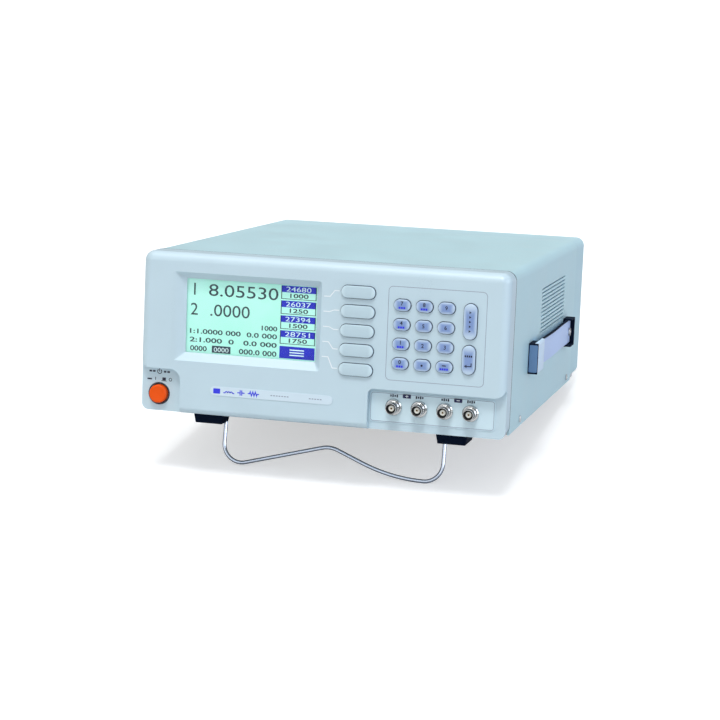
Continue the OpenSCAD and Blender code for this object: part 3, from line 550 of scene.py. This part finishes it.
def smooth_group():
    """Geometry nodes that shade smooth but keep edges sharper than SMOOTH_ANGLE."""
    tree = bpy.data.node_groups.new("smooth_by_angle", "GeometryNodeTree")
    tree.interface.new_socket("Geometry", in_out="INPUT", socket_type="NodeSocketGeometry")
    tree.interface.new_socket("Geometry", in_out="OUTPUT", socket_type="NodeSocketGeometry")
    source = add(tree, "NodeGroupInput").outputs[0]
    angle = add(tree, "GeometryNodeInputMeshEdgeAngle").outputs["Unsigned Angle"]
    sharp = add(tree, "FunctionNodeCompare", {0: angle, 1: SMOOTH_ANGLE}, operation="GREATER_THAN").outputs[0]
    faces = add(tree, "GeometryNodeSetShadeSmooth", {"Geometry": source, "Shade Smooth": True}, domain="FACE")
    inputs = {"Geometry": faces.outputs["Geometry"], "Selection": sharp, "Shade Smooth": False}
    edges = add(tree, "GeometryNodeSetShadeSmooth", inputs, domain="EDGE")
    add(tree, "NodeGroupOutput", {0: edges.outputs["Geometry"]})
    return tree


SMOOTH_GROUP = smooth_group()

# Edge rounds of the CAD nodes, in millimetres
EDGE_ROUND = {
    "front_bezel": 0.45, "top_cover": 0.25, "rear_frame": 0.8, "bottom_pan": 0.3, "rear_panel": 0.25,
    "front_feet": 0.7, "rear_feet": 0.7, "handle_brackets": 0.6, "label_strip": 0.12,
    "terminal_plate": 0.15, "mains_inlet": 0.5, "fuse_drawer": 0.4, "serial_port": 0.3,
    "transformer_core": 0.5, "transformer_coil": 2.5, "analog_shield": 0.6, "capacitors": 1.2,
    "cover_screws": 0.3, "handle_screws": 0.4, "foot_screws": 0.3, "port_screws": 0.3,
    "earth_post": 0.25, "heatsink": 0.4, "main_board": 0.15, "key_board": 0.15,
}


# Nodes whose film or moulding differs a little from the rest of their slot
OWN_FINISH = {"label_strip": "strip_film", "serial_port": "tinned_shell"}


def dress_cad_nodes():
    """Gives every CAD node its finish, welded seams, small edge rounds and clean shading."""
    for node, obj in frame["nodes"].items():
        mesh = obj.data
        mesh.materials.clear()
        mesh.materials.append(MATERIALS[OWN_FINISH.get(node, SLOT_OF[node])])
        if "custom_normal" in mesh.attributes:
            mesh.attributes.remove(mesh.attributes["custom_normal"])
        weld = obj.modifiers.new("weld", "WELD")
        weld.merge_threshold = 2e-6
        width = EDGE_ROUND.get(node, 0)
        if width:
            flatten = obj.modifiers.new("flatten", "DECIMATE")
            flatten.decimate_type = "DISSOLVE"
            flatten.angle_limit = math.radians(0.2)
            bevel = obj.modifiers.new("edge_round", "BEVEL")
            bevel.width = width * MM
            bevel.segments = 2
            bevel.limit_method = "ANGLE"
            bevel.angle_limit = math.radians(40)
            bevel.use_clamp_overlap = True
        smooth = obj.modifiers.new("smooth", "NODES")
        smooth.node_group = SMOOTH_GROUP
        if width:
            weighted = obj.modifiers.new("weighted", "WEIGHTED_NORMAL")
            weighted.keep_sharp = True


# ---------- Keys ----------

FLANGE = 1.7
FLANGE_THICK = 1.2
FLANGE_DEPTH = 3.1
CAP_ROUND = 0.9
STEM_R = 2.5
DOME = 0.25
KEY_GAP = 0.5
ROUND_STEPS = 6


def keycap(node, material="keypad_key"):
    """One domed pill keycap with its retaining flange and stem."""
    low, high = corner(node)
    centre = middle(node)
    width = high.x - low.x - 2 * FLANGE
    height = high.z - low.z - 2 * FLANGE
    top = low.y
    y_flange = FACE + FLANGE_DEPTH
    rings = [pill_ring(centre, high.y, 2 * STEM_R, 2 * STEM_R),
             pill_ring(centre, y_flange + FLANGE_THICK, 2 * STEM_R, 2 * STEM_R)]
    for y, grow in ((y_flange + FLANGE_THICK, FLANGE), (y_flange, FLANGE), (y_flange, 0)):
        rings.append(pill_ring(centre, y, width + 2 * grow, height + 2 * grow))
    crown = top + DOME
    for angle in quarter(ROUND_STEPS):
        inset = CAP_ROUND * (1 - math.cos(angle))
        y = crown + CAP_ROUND * (1 - math.sin(angle))
        rings.append(pill_ring(centre, y, width - 2 * inset, height - 2 * inset))
    half = min(width, height) / 2 - CAP_ROUND
    for step in range(1, 5):
        share = step / 5
        inset = CAP_ROUND + half * share
        y = crown - DOME * (1 - (1 - share) ** 2)
        rings.append(pill_ring(centre, y, width - 2 * inset, height - 2 * inset))
    with piece(node + "_cap", material, SLOT_OF[node], node, node) as builder:
        loft(builder, rings)
    return centre, top


def ink(top):
    """Front and back of a mark printed on a keycap whose front is at top."""
    return top - 0.04, top + 0.4


def bars(builder, x, z, count, pitch, wide, tall, front, back, radius=0.2):
    """A row of small bars, centred on x."""
    for i in range(count):
        slab(builder, (x + (i - (count - 1) / 2) * pitch, z), wide, tall, front, back, radius)


def key_mark(node, kind, material="ink_dark"):
    """A printed mark that rides on its key, as a block for its bmesh."""
    return piece(f"{node}_{kind}", material, SLOT_OF[node], node)


def build_keys():
    """All keycaps with their digits and symbols."""
    for number in range(1, 6):
        keycap(f"softkey_{number}", "soft_key")
    for digit in "0123456789":
        digit_key(digit, digit in "78410")
    point_key()
    sign_key()
    start_key()
    enter_key()
    build_key_gaps()
    build_keypad_line()


def digit_key(digit, with_bars):
    """A digit key, some with a row of bars under the digit."""
    node = "key_" + digit
    (x, z), top = keycap(node)
    raised = 1.6 if with_bars else 0.2
    with key_mark(node, "digit") as builder:
        glyph_mesh(builder, digit, (x - 1.15, x + 1.15, z + raised - 1.7, z + raised + 1.7), *ink(top), 0.02)
    if with_bars:
        with key_mark(node, "bars", "ink_blue") as builder:
            bars(builder, x, z - 2.1, 3, 2.0, 1.6, 1.8, *ink(top))


def build_key_gaps():
    """Dark rings deep in the gap round every key, painted shadow in the gaps."""
    with piece("key_gaps", "shadow_ring", "bezel_plastic") as builder:
        for node, slot in SLOT_OF.items():
            if slot in ("soft_key", "keypad_key"):
                low, high = corner(node)
                wide = high.x - low.x - 2 * FLANGE + 2 * KEY_GAP
                tall = high.z - low.z - 2 * FLANGE + 2 * KEY_GAP
                size = (wide, tall, min(wide, tall) / 2, KEY_GAP - 0.04)
                hollow_ring(builder, middle(node), *size, FACE + 0.25, FACE + 1.2)


def build_keypad_line():
    """The thin line engraved round the keypad, filled with grey."""
    centre = (middle("key_8")[0] + 10.7, middle("softkey_3")[1] + 0.4)
    with piece("keypad_line", "ink_grey", "bezel_plastic") as builder:
        hollow_ring(builder, centre, 84.0, 79.4, 4.0, 0.5, FACE - 0.02, FACE + 0.3)


def point_key():
    """The decimal point key."""
    centre, top = keycap("key_point")
    front, back = ink(top)
    with key_mark("key_point", "dot") as builder:
        lathe(builder, centre, [(0.01, back), (0.95, back), (0.95, front), (0.01, front)], 20)


def sign_key():
    """The minus key, with small bars under the sign."""
    (x, z), top = keycap("key_sign")
    with key_mark("key_sign", "minus") as builder:
        slab(builder, (x, z + 1.3), 3.4, 0.9, *ink(top), 0.1)
    with key_mark("key_sign", "bars", "ink_blue") as builder:
        bars(builder, x, z - 1.6, 4, 1.9, 1.5, 1.8, *ink(top))


def triangle(builder, points, top):
    """A small triangle printed on a key."""
    loft(builder, [[(x, y, z) for x, z in points] for y in reversed(ink(top))])


def start_key():
    """The tall key with a column of small marks."""
    (x, z), top = keycap("start_key")
    with key_mark("start_key", "marks") as builder:
        for i in range(5):
            tip = z + (2 - i) * 3.9
            triangle(builder, [(x - 0.8, tip + 1.1), (x + 1.0, tip), (x - 0.8, tip - 1.1)], top)


def enter_key():
    """The tall key with a bar mark over a return arrow."""
    (x, z), top = keycap("enter_key")
    with key_mark("enter_key", "marks") as builder:
        bars(builder, x, z + 3.4, 4, 1.7, 1.2, 1.6, *ink(top))
        path_strip(builder, [(x + 2.6, z - 2.2), (x + 2.6, z - 5.0), (x - 1.2, z - 5.0)], 0.8, *ink(top))
        triangle(builder, [(x - 1.2, z - 3.6), (x - 3.4, z - 5.0), (x - 1.2, z - 6.4)], top)


# ---------- Display ----------

SCREEN_X0 = glass_low.x + 2.0
SCREEN_X1 = glass_high.x - 2.0
SCREEN_Z0 = glass_low.z + 2.0
SCREEN_Z1 = glass_high.z - 2.0
SCREEN_FRONT = glass_low.y - 0.07
SCREEN_BACK = glass_low.y + 0.05


def on_screen(left, right, top, bottom):
    """Area (x0, x1, z0, z1) from shares of the screen, measured from its top left."""
    wide = SCREEN_X1 - SCREEN_X0
    tall = SCREEN_Z1 - SCREEN_Z0
    return (SCREEN_X0 + left * wide, SCREEN_X0 + right * wide,
            SCREEN_Z1 - bottom * tall, SCREEN_Z1 - top * tall)


def screen_text(name, text, area, material, weight=0.0):
    """One line of digits on the screen."""
    with piece(name, material, "display") as builder:
        glyph_mesh(builder, text, on_screen(*area), SCREEN_FRONT, SCREEN_BACK, weight)


def screen_bar(builder, area, front):
    """One solid block over an area of the screen."""
    x0, x1, z0, z1 = on_screen(*area)
    slab(builder, ((x0 + x1) / 2, (z0 + z1) / 2), x1 - x0, z1 - z0, front, SCREEN_BACK)


def screen_block(name, areas, material, front=SCREEN_FRONT):
    """Solid blocks on the screen."""
    with piece(name, material, "display") as builder:
        for area in areas:
            screen_bar(builder, area, front)


def build_screen():
    """Generic digits on the display, with the soft key column on the right."""
    readings = (("1", (0.035, 0.075, 0.06, 0.22)), ("8.05530", (0.165, 0.70, 0.06, 0.22)),
                ("2", (0.035, 0.075, 0.33, 0.49)), (".0000", (0.18, 0.485, 0.33, 0.49)))
    for i, (text, area) in enumerate(readings):
        screen_text(f"lcd_reading_{i + 1}", text, area, "lcd_dark")
    status = (("1000", (0.58, 0.70, 0.57, 0.635)), ("1:1.0000 000  0.0 000", (0.025, 0.70, 0.675, 0.74)),
              ("2:1.000  0   0.0 000", (0.025, 0.70, 0.79, 0.855)), ("0000", (0.03, 0.16, 0.905, 0.975)),
              ("000.0 000", (0.41, 0.70, 0.905, 0.975)))
    for i, (text, area) in enumerate(status):
        screen_text(f"lcd_status_{i + 1}", text, area, "lcd_dark", 0.02)
    screen_block("lcd_inverse_block", [(0.20, 0.345, 0.89, 0.985)], "lcd_black")
    raised = SCREEN_FRONT - 0.04
    with piece("lcd_inverse_digits", "lcd_pale", "display") as builder:
        glyph_mesh(builder, "0000", on_screen(0.215, 0.33, 0.91, 0.97), raised, SCREEN_BACK)
    column(raised)


def column(raised):
    """Five boxes beside the soft keys: four with a blue header and a value, one solid."""
    left, right = 0.722, 0.99
    headers, digits, values, frames = [], bmesh.new(), bmesh.new(), []
    for row in range(4):
        top = row * 0.2 + 0.012
        headers.append((left, right, top, top + 0.088))
        frames.append((left, left + 0.006, top, top + 0.18))
        frames.append((right - 0.006, right, top, top + 0.18))
        frames.append((left, right, top + 0.172, top + 0.18))
        glyph_mesh(digits, str(24680 + 1357 * row), on_screen(0.76, 0.95, top + 0.014, top + 0.076),
                   raised, SCREEN_BACK)
        glyph_mesh(values, str(1000 + 250 * row), on_screen(0.79, 0.93, top + 0.103, top + 0.16),
                   SCREEN_FRONT, SCREEN_BACK, 0.02)
    headers.append((left, right, 0.822, 0.985))
    screen_block("lcd_headers", headers, "lcd_blue")
    screen_block("lcd_boxes", frames, "lcd_dark")
    finish_mesh("lcd_header_digits", digits, "lcd_pale")
    finish_mesh("lcd_value_digits", values, "lcd_dark")
    menu = [(0.80, 0.91, 0.86 + i * 0.035, 0.875 + i * 0.035) for i in range(3)]
    screen_block("lcd_menu_bars", menu, "lcd_pale", raised)


# ---------- Printing on the front ----------

def build_guide_lines():
    """Pale lines that lead from the display to each soft key."""
    with piece("guide_lines", "ink_light", "label") as builder:
        for row in range(5):
            node = f"softkey_{row + 1}"
            key_x, key_z = corner(node)[0].x + FLANGE - 1.6, middle(node)[1]
            row_z = SCREEN_Z1 - (row + 0.5) * (SCREEN_Z1 - SCREEN_Z0) / 5
            start, bend, end = SCREEN_X1 + 7.5, SCREEN_X1 + 12.8, SCREEN_X1 + 16.8
            points = [(start, row_z), (bend, row_z), (end, key_z), (key_x, key_z)]
            path_strip(builder, points, 0.8, FACE - PRINT, FACE + 0.3)


def build_power_marks():
    """The generic power sign and the in and out pictograms above the button."""
    x, _ = middle("power_button")
    bottom = corner("power_button")[0].z
    sign, row = bottom + 27.1, bottom + 20.7
    front, back = RECESS - PRINT, RECESS + 0.3
    with piece("power_marks", "ink_dark", "label") as builder:
        ring_strip(builder, (x, sign), 1.9, 0.7, front, back, 125, 415, 24)
        path_strip(builder, [(x, sign - 0.2), (x, sign + 2.6)], 0.7, front, back)
        for side in (-1, 1):
            bars(builder, x + side * 6.6, sign, 2, 3.2, 2.4, 1.6, front, back, 0.3)
        slab(builder, (x - 9.0, row - 0.6), 4.2, 1.3, front, back, 0.2)
        slab(builder, (x - 3.6, row), 0.6, 2.6, front, back)
        slab(builder, (x + 4.2, row), 3.2, 2.6, front, back, 0.3)
        slab(builder, (x + 4.2, row - 1.7), 5.0, 0.5, front, back)
        ring_strip(builder, (x + 10.0, row - 0.2), 1.2, 0.55, front, back)


def zigzag(x0, x1, z, rise, teeth):
    """Points of a resistor sign between x0 and x1."""
    lead = (x1 - x0) * 0.16
    span = (x1 - x0 - 2 * lead) / (2 * teeth)
    points = [(x0, z), (x0 + lead, z)]
    for i in range(2 * teeth):
        points.append((x0 + lead + (i + 0.5) * span, z + (rise if i % 2 == 0 else -rise)))
    return points + [(x1 - lead, z), (x1, z)]


def build_strip_marks():
    """Plain component signs (coil, capacitor, resistor) and small bars on the label strip."""
    z = middle("label_strip")[1]
    front, back = strip_low.y - PRINT, strip_low.y + 0.2
    x = strip_low.x + 6
    with piece("strip_signs", "ink_blue", "label") as builder:
        slab(builder, (x, z), 6.2, 4.4, front, back, 0.5)
        coil = x + 6
        path_strip(builder, [(coil, z - 1), (coil + 1.6, z - 1)], 0.9, front, back)
        for i in range(3):
            ring_strip(builder, (coil + 2.7 + i * 2.2, z - 1), 1.1, 0.9, front, back, 0, 180, 12)
        path_strip(builder, [(coil + 8.2, z - 1), (coil + 9.8, z - 1)], 0.9, front, back)
        plate = coil + 12.5
        path_strip(builder, [(plate, z), (plate + 2.4, z)], 0.9, front, back)
        for dx in (2.6, 4.0):
            slab(builder, (plate + dx, z), 0.9, 4.6, front, back)
        path_strip(builder, [(plate + 4.2, z), (plate + 6.6, z)], 0.9, front, back)
        path_strip(builder, zigzag(plate + 9.4, plate + 19.5, z, 1.7, 3), 0.9, front, back)
    with piece("strip_bars", "ink_grey", "label") as builder:
        for x, count in ((strip_high.x - 46.8, 7), (strip_high.x - 15.2, 5)):
            bars(builder, x, z, count, 2.4, 1.6, 0.8, front, back, 0.1)


def build_terminal_marks():
    """Small bars over the terminals, and a plus and a minus tab between each pair."""
    front, back = plate_low.y - PRINT, plate_low.y + 0.2
    first, last = corner("bnc_contacts")
    contact_r = (last.z - first.z) / 2
    span = last.x - first.x - 2 * contact_r
    xs = [first.x + contact_r + span * i / 3 for i in range(4)]
    z = plate_high.z - 2.6
    with piece("terminal_bars", "ink_dark", "label") as builder:
        for i, x in enumerate(xs):
            for k in (-1.5, -0.5, 0.5, 1.5):
                slab(builder, (x + k * 1.8, z), 1.25, 1.5 + 0.6 * ((k + i) % 2), front, back, 0.1)
    tabs, signs = bmesh.new(), bmesh.new()
    for i, x in enumerate(((xs[0] + xs[1]) / 2, (xs[2] + xs[3]) / 2)):
        slab(tabs, (x, z + 0.3), 7.0, 3.5, front, back, 0.6)
        slab(signs, (x, z + 0.3), 2.6, 0.6, front - 0.04, back)
        if i == 0:
            slab(signs, (x, z + 0.3), 0.6, 2.0, front - 0.04, back)
    finish_mesh("terminal_tabs", tabs, "ink_navy")
    finish_mesh("terminal_signs", signs, "ink_light")
    frame_line(front, back)


def frame_line(front, back):
    """The thin printed line round the terminal plate."""
    size = plate_high - plate_low
    with piece("terminal_frame_line", "ink_grey", "label") as builder:
        hollow_ring(builder, middle("terminal_plate"), size.x - 1.4, size.z - 1.4, 2.4, 0.45, front, back)


# ---------- Button, terminals and strap ----------

def build_power_button():
    """The round orange button with a rounded edge and a shallow dish, and a dark ring of painted shadow in
    the gap round it.
    """
    low, high = corner("power_button")
    centre = middle("power_button")
    r = (high.x - low.x) / 2
    front, shoulder, tail = low.y, RECESS + 2.5, high.y
    profile = [(0.01, tail), (4.0, tail), (4.0, shoulder), (r, shoulder), (r, front + 1.2)]
    for angle in quarter(6, 1):
        profile.append((r - 1.2 * (1 - math.cos(angle)), front + 1.2 * (1 - math.sin(angle))))
    for share in (0.8, 0.6, 0.4, 0.2, 0.0):
        profile.append((max((r - 1.4) * share, 0.01), front + 0.55 * (1 - share * share)))
    node = "power_button"
    with piece("power_button_cap", "orange_plastic", None, node, node) as builder:
        lathe(builder, centre, profile, 64)
    # painted shadow: a dark ring in the gap round the button
    inner, outer = r + 0.75, r + 1.9
    front, back = RECESS - 0.12, RECESS + 0.2
    with piece("power_button_ring", "shadow_ring", "bezel_plastic") as builder:
        lathe(builder, centre, [(inner, back), (outer, back), (outer, front), (inner, front)], 64)


def build_terminals():
    """Four turned BNC shells with lip, bayonet lugs, collar groove and chamfered flange, each lined inside
    with painted shadow.
    """
    low, high = corner("bnc_shells")
    tip, plate = low.y, plate_low.y
    flange_r = (high.z - low.z) / 2
    _, z = middle("bnc_shells")
    pitch = (high.x - low.x - 2 * flange_r) / 3
    for i in range(4):
        x = low.x + flange_r + i * pitch
        outside = [(5.9, 14.0), (5.9, 0), (flange_r - 0.35, 0), (flange_r, -0.35), (flange_r, -1.4),
                   (flange_r - 0.6, -2.0), (5.6, -2.0), (5.43, -2.3), (5.43, -3.8), (5.1, -4.1), (5.1, -4.8),
                   (5.43, -5.1), (5.43, -6.4), (5.2, -6.7), (4.83, -6.7)]
        outside = [(r, plate + y) for r, y in outside] + [(4.83, tip + 0.35), (4.6, tip), (4.25, tip)]
        inside = [(4.1, tip + 0.2), (4.1, tip + 9.0), (1.6, tip + 9.0), (1.6, plate + 14.0)]
        with piece(f"bnc_shell_{i + 1}", "nickel", "nickel", CASE, None if i else "bnc_shells") as builder:
            lathe(builder, (x, z), outside + inside, 56)
            for side in (-1, 1):
                loft(builder, lug_rings(x, z, tip + 5.5, side))
        # painted shadow: a black liner in each nose, where the bore lies in shade
        with piece(f"bnc_bore_{i + 1}", "painted_bore_shadow", "nickel") as builder:
            lathe(builder, (x, z), [(2.45, tip + 3.4), (4.0, tip + 3.4), (4.0, tip + 0.9), (4.09, tip + 0.9),
                                    (4.09, tip + 9.0), (2.45, tip + 9.0)], 56)


def lug_rings(x, z, y, side):
    """Rings of one round bayonet lug that sticks out sideways."""
    rings = []
    angles = [2 * math.pi * k / 20 for k in range(20)]
    for reach, r in ((4.4, 1.0), (5.35, 1.0), (5.6, 0.75)):
        rings.append([(x + side * reach, y + r * math.cos(a), z + r * math.sin(a)) for a in angles])
    return rings


STRAP_STEPS = 60
STRAP_WIDE = 23.0
STRAP_THICK = 2.4
CAP_LONG = 37.0
STRAP_BOW = 0.8


def strap_rise(off, length, bow):
    """How far the strap stands off its base at a distance from its middle."""
    reach = min(1.0, off / (length / 2 - CAP_LONG))
    return bow * (1 - math.sin(math.pi / 2 * reach) ** 2)


def build_strap():
    """The soft strap: a bowed band with a dark strip of painted shadow along its top and a thick cap on its
    front end.
    """
    low, high = corner("handle_strap")
    bracket_low, _ = corner("handle_brackets")
    _, z = middle("handle_strap")
    length = high.y - low.y
    band, top_shadow, cap = bmesh.new(), bmesh.new(), bmesh.new()
    sections, shadow_sections = [], []
    for i in range(STRAP_STEPS + 1):
        y = low.y + length * i / STRAP_STEPS
        inner = low.x + strap_rise(abs(y - (low.y + high.y) / 2), length, STRAP_BOW)
        sections.append(strap_section(y, inner, inner + STRAP_THICK, z, STRAP_WIDE))
        # painted shadow: a dark strip along the strap's top edge, where shade falls between strap and case
        if low.y + CAP_LONG < y < high.y - 14:
            shadow_sections.append(strap_section(y, inner + 0.2, inner + STRAP_THICK + 0.35, z + STRAP_WIDE / 2, 1.5))
    loft(band, sections)
    loft(top_shadow, shadow_sections)
    base, deep = bracket_low.x + 4.2, high.x
    shape = ((0.0, 0.9), (0.5, 0.25), (1.2, 0.0), (CAP_LONG - 5.0, 0.0), (CAP_LONG - 1.6, 0.5),
             (CAP_LONG - 0.4, 1.3), (CAP_LONG, 2.2))
    loft(cap, [strap_section(low.y + along, base, deep - drop, z, high.z - low.z) for along, drop in shape])
    finish_mesh("strap_band", band, "strap_vinyl", CASE, "handle_strap")
    finish_mesh("strap_top_shadow", top_shadow, "foot_rubber")
    finish_mesh("strap_cap", cap, "cap_vinyl")


def build_bracket_plates():
    """Slate end plates set into the outer faces of the two handle brackets."""
    low, high = corner("handle_brackets")
    x, z = middle("handle_brackets")
    centre = (x + 0.2, z)
    wide, tall = high.x - low.x - 1.2, high.z - low.z - 3.0
    with piece("bracket_plates", "slate", "foot_rubber") as builder:
        slab(builder, centre, wide, tall, low.y - 0.3, low.y + 0.6, 0.8, 0.2)
        slab(builder, centre, wide, tall, high.y + 0.3, high.y - 0.6, 0.8, 0.0)


SEAM_SHADOW_PROUD = 0.42


def build_seam_shadow():
    """A dark strip between bezel and cover, a little proud of the cover: painted shadow along the seam."""
    low, high = corner("top_cover")
    wide, tall = high.x - low.x + 2 * SEAM_SHADOW_PROUD, high.z - low.z + 2 * SEAM_SHADOW_PROUD
    # painted shadow: the dark strip stands for the shade along the seam behind the bezel
    with piece("seam_shadow_strip", "seam_shadow", "bezel_plastic") as builder:
        size = (wide, tall, 8 + SEAM_SHADOW_PROUD, 3.7)
        hollow_ring(builder, middle("top_cover"), *size, low.y - 1.98, low.y - 0.02)


# Extent of the cooling slots: behind the cover's front edge, and in height
VENT_Y = (128, 269)
VENT_Z = (66.0, 116.0)


def build_vent_screens():
    """Fine dust screens just inside the cooling slots of both sides."""
    low, high = corner("top_cover")
    for name, x in (("left", low.x + 1.7), ("right", high.x - 2.1)):
        y0, y1 = low.y + VENT_Y[0], low.y + VENT_Y[1]
        with piece(f"vent_screen_{name}", "screen_mesh", "plated_steel") as builder:
            corners = ((y0, VENT_Z[0]), (y1, VENT_Z[0]), (y1, VENT_Z[1]), (y0, VENT_Z[1]))
            loft(builder, [[(x + dx, y, z) for y, z in corners] for dx in (0, 0.4)])


def build_rear_screws():
    """Domed screws round the rear panel, with a round drive recess."""
    y = PANEL
    profile = [(0.01, y - 0.3), (3.1, y - 0.3), (3.1, y + 0.5)]
    for angle in quarter(6, 1)[:-1]:
        profile.append((1.3 + 1.8 * math.cos(angle), y + 0.5 + 1.1 * math.sin(angle)))
    profile += [(1.3, y + 1.6), (1.2, y + 0.7), (0.01, y + 0.7)]
    with piece("rear_panel_screws", "zinc_steel") as builder:
        for x in (-140, 0, 140):
            for z in (18, 120):
                lathe(builder, (x, z), profile, 32)


def build_serial_pins():
    """The dark insert of the serial port and its nine pins."""
    x, z = middle("serial_port")
    y = PANEL
    with piece("serial_insert", "black_plastic") as builder:
        slab(builder, (x, z), 15.6, 7.0, y + 0.9, y + 4.4, 1.4)
    pin = [(0.01, y + 4.3), (0.5, y + 4.3), (0.5, y + 5.2), (0.3, y + 5.5), (0.01, y + 5.5)]
    with piece("serial_pins", "brass") as builder:
        for count, dz in ((5, 1.42), (4, -1.42)):
            for i in range(count):
                lathe(builder, (x + (i - (count - 1) / 2) * 2.76, z + dz), pin, 12)


def build_rear_marks():
    """A blank rating label with plain bars, and an earth sign over the stud."""
    y = PANEL
    label_x, label_z = 100.0, 36.0
    with piece("rating_label", "strip_film", "label") as builder:
        slab(builder, (label_x, label_z), 56, 28, y - 0.1, y + 0.12, 2.0)
    with piece("rear_print", "ink_dark", "label") as builder:
        for row in range(5):
            wide = 44 - 9 * (row % 3)
            slab(builder, (label_x + 24 - wide / 2, label_z + 8.4 - 4.2 * row), wide, 1.3, y, y + 0.17)
        x, z = middle("earth_post")
        slab(builder, (x, z + 12.2), 0.7, 3.0, y - 0.1, y + PRINT)
        for i in range(3):
            slab(builder, (x, z + 10.6 - 1.3 * i), 6.6 - 2.2 * i, 0.7, y - 0.1, y + PRINT)


def strap_section(y, inner, outer, z, width):
    """Cross-section of the strap at y, with rounded long edges."""
    thick = outer - inner
    return pill_ring((inner + thick / 2, z), y, thick, width, min(1.2, thick / 2 - 0.05), 4)


# ---------- Stage, light and camera ----------

def floor_paper():
    """Pale paper with a faint grain, lifted a little for the camera so that it stays white."""
    paper = surface("floor_paper", (0.61, 0.62, 0.63, 1.0), 0.8, 2.0, 0.01, 0.004)
    tree = paper.node_tree
    seen = add(tree, "ShaderNodeLightPath").outputs["Is Camera Ray"]
    glow = math_node("MULTIPLY", seen, 0.52)
    feed(tree.nodes["Principled BSDF"], {"Emission Strength": glow, "Emission Color": (1, 1, 1, 1)})
    return paper


def build_floor():
    """A wide pale floor under the open bail and the rear feet, on which the meter stands."""
    bail_low, _ = corner("tilt_bail")
    feet_low, feet_high = corner("rear_feet")
    front = Vector((0, bail_low.y + 1.7, bail_low.z)) * MM
    rear = Vector((0, feet_high.y, feet_low.z)) * MM
    along = (rear - front).normalized()
    half_wide, behind, ahead = 6.0, 9.0, 3.0
    builder = bmesh.new()
    side = Vector((half_wide, 0, 0))
    near, far = front - along * ahead, front + along * behind
    corners = [near - side, near + side, far + side, far - side]
    builder.faces.new([builder.verts.new(point) for point in corners])
    mesh = bpy.data.meshes.new("floor")
    builder.to_mesh(mesh)
    builder.free()
    mesh.materials.append(floor_paper())
    place("floor", mesh)


AMBIENT = 0.6


def sun(name, source, spread_deg, share, colour=(1, 1, 1), only_shine=False):
    """A soft sun whose light comes from the direction source; share 1 lights white paper to white."""
    lamp = bpy.data.lights.new(name, "SUN")
    lamp.angle = math.radians(spread_deg)
    lamp.energy = share * math.pi
    lamp.color = colour
    holder = place(name, lamp)
    holder.rotation_euler = (-Vector(source)).to_track_quat("-Z", "Y").to_euler()
    holder.visible_diffuse = not only_shine


def build_world():
    """Even white surroundings, but shiny things see a dark room with two bright panels."""
    world = bpy.data.worlds.new("studio")
    bpy.context.scene.world = world
    world.use_nodes = True
    tree = world.node_tree
    tree.nodes.clear()
    path = add(tree, "ShaderNodeLightPath").outputs
    way = add(tree, "ShaderNodeTexCoord").outputs["Generated"]
    parts = add(tree, "ShaderNodeSeparateXYZ", {"Vector": way})
    overhead = between(parts.outputs["Z"], 0.45, 0.75, 0.0, 0.9)
    level = between(math_node("ABSOLUTE", parts.outputs["Z"]), 0.32, 0.12, 0.0, 0.8)
    ahead = between(parts.outputs["Y"], -0.2, -0.7)
    panels = math_node("ADD", overhead, math_node("MULTIPLY", level, ahead))
    room = math_node("ADD", panels, 0.12)
    seen = add(tree, "ShaderNodeMix", {0: path["Is Glossy Ray"], 2: AMBIENT, 3: room}).outputs[0]
    strength = add(tree, "ShaderNodeMix", {0: path["Is Camera Ray"], 2: seen, 3: 1.0}).outputs[0]
    background = add(tree, "ShaderNodeBackground", {"Color": (1, 1, 1, 1), "Strength": strength})
    add(tree, "ShaderNodeOutputWorld", {0: background.outputs[0]})


def build_lights():
    """Three suns that light the meter and its shadow, and two that only put a shine on edges."""
    build_world()
    sun("overhead", (0.02, -0.5, 1.0), 18, 0.54)
    sun("frontal", (-0.1, -0.9, 0.4), 50, 0.1)
    sun("side_fill", (1.0, -0.2, 0.3), 50, 0.13, (0.08, 0.4, 1.0))
    sun("edge_shine", (0.96, -0.25, 0.1), 60, 0.7, only_shine=True)
    sun("top_shine", (-0.25, -0.15, 0.96), 24, 0.12, only_shine=True)


def build_camera():
    """The camera, turned so that CAMERA_UP is the picture's upward direction."""
    data = bpy.data.cameras.new("camera")
    data.lens = LENS_MM
    data.clip_end = 100
    camera = place("camera", data)
    back = -CAMERA_LOOK.normalized()
    right = CAMERA_UP.cross(back).normalized()
    up = back.cross(right)
    rows = [(right[i], up[i], back[i], CAMERA_PLACE[i]) for i in range(3)]
    camera.matrix_world = Matrix(rows + [(0, 0, 0, 1)])
    bpy.context.scene.camera = camera


dress_cad_nodes()
build_keys()
build_screen()
build_guide_lines()
build_power_marks()
build_strip_marks()
build_terminal_marks()
build_power_button()
build_terminals()
build_strap()
build_bracket_plates()
build_vent_screens()
build_seam_shadow()
build_rear_screws()
build_serial_pins()
build_rear_marks()
build_floor()
build_lights()
build_camera()
bpy.context.scene.view_settings.view_transform = "Standard"
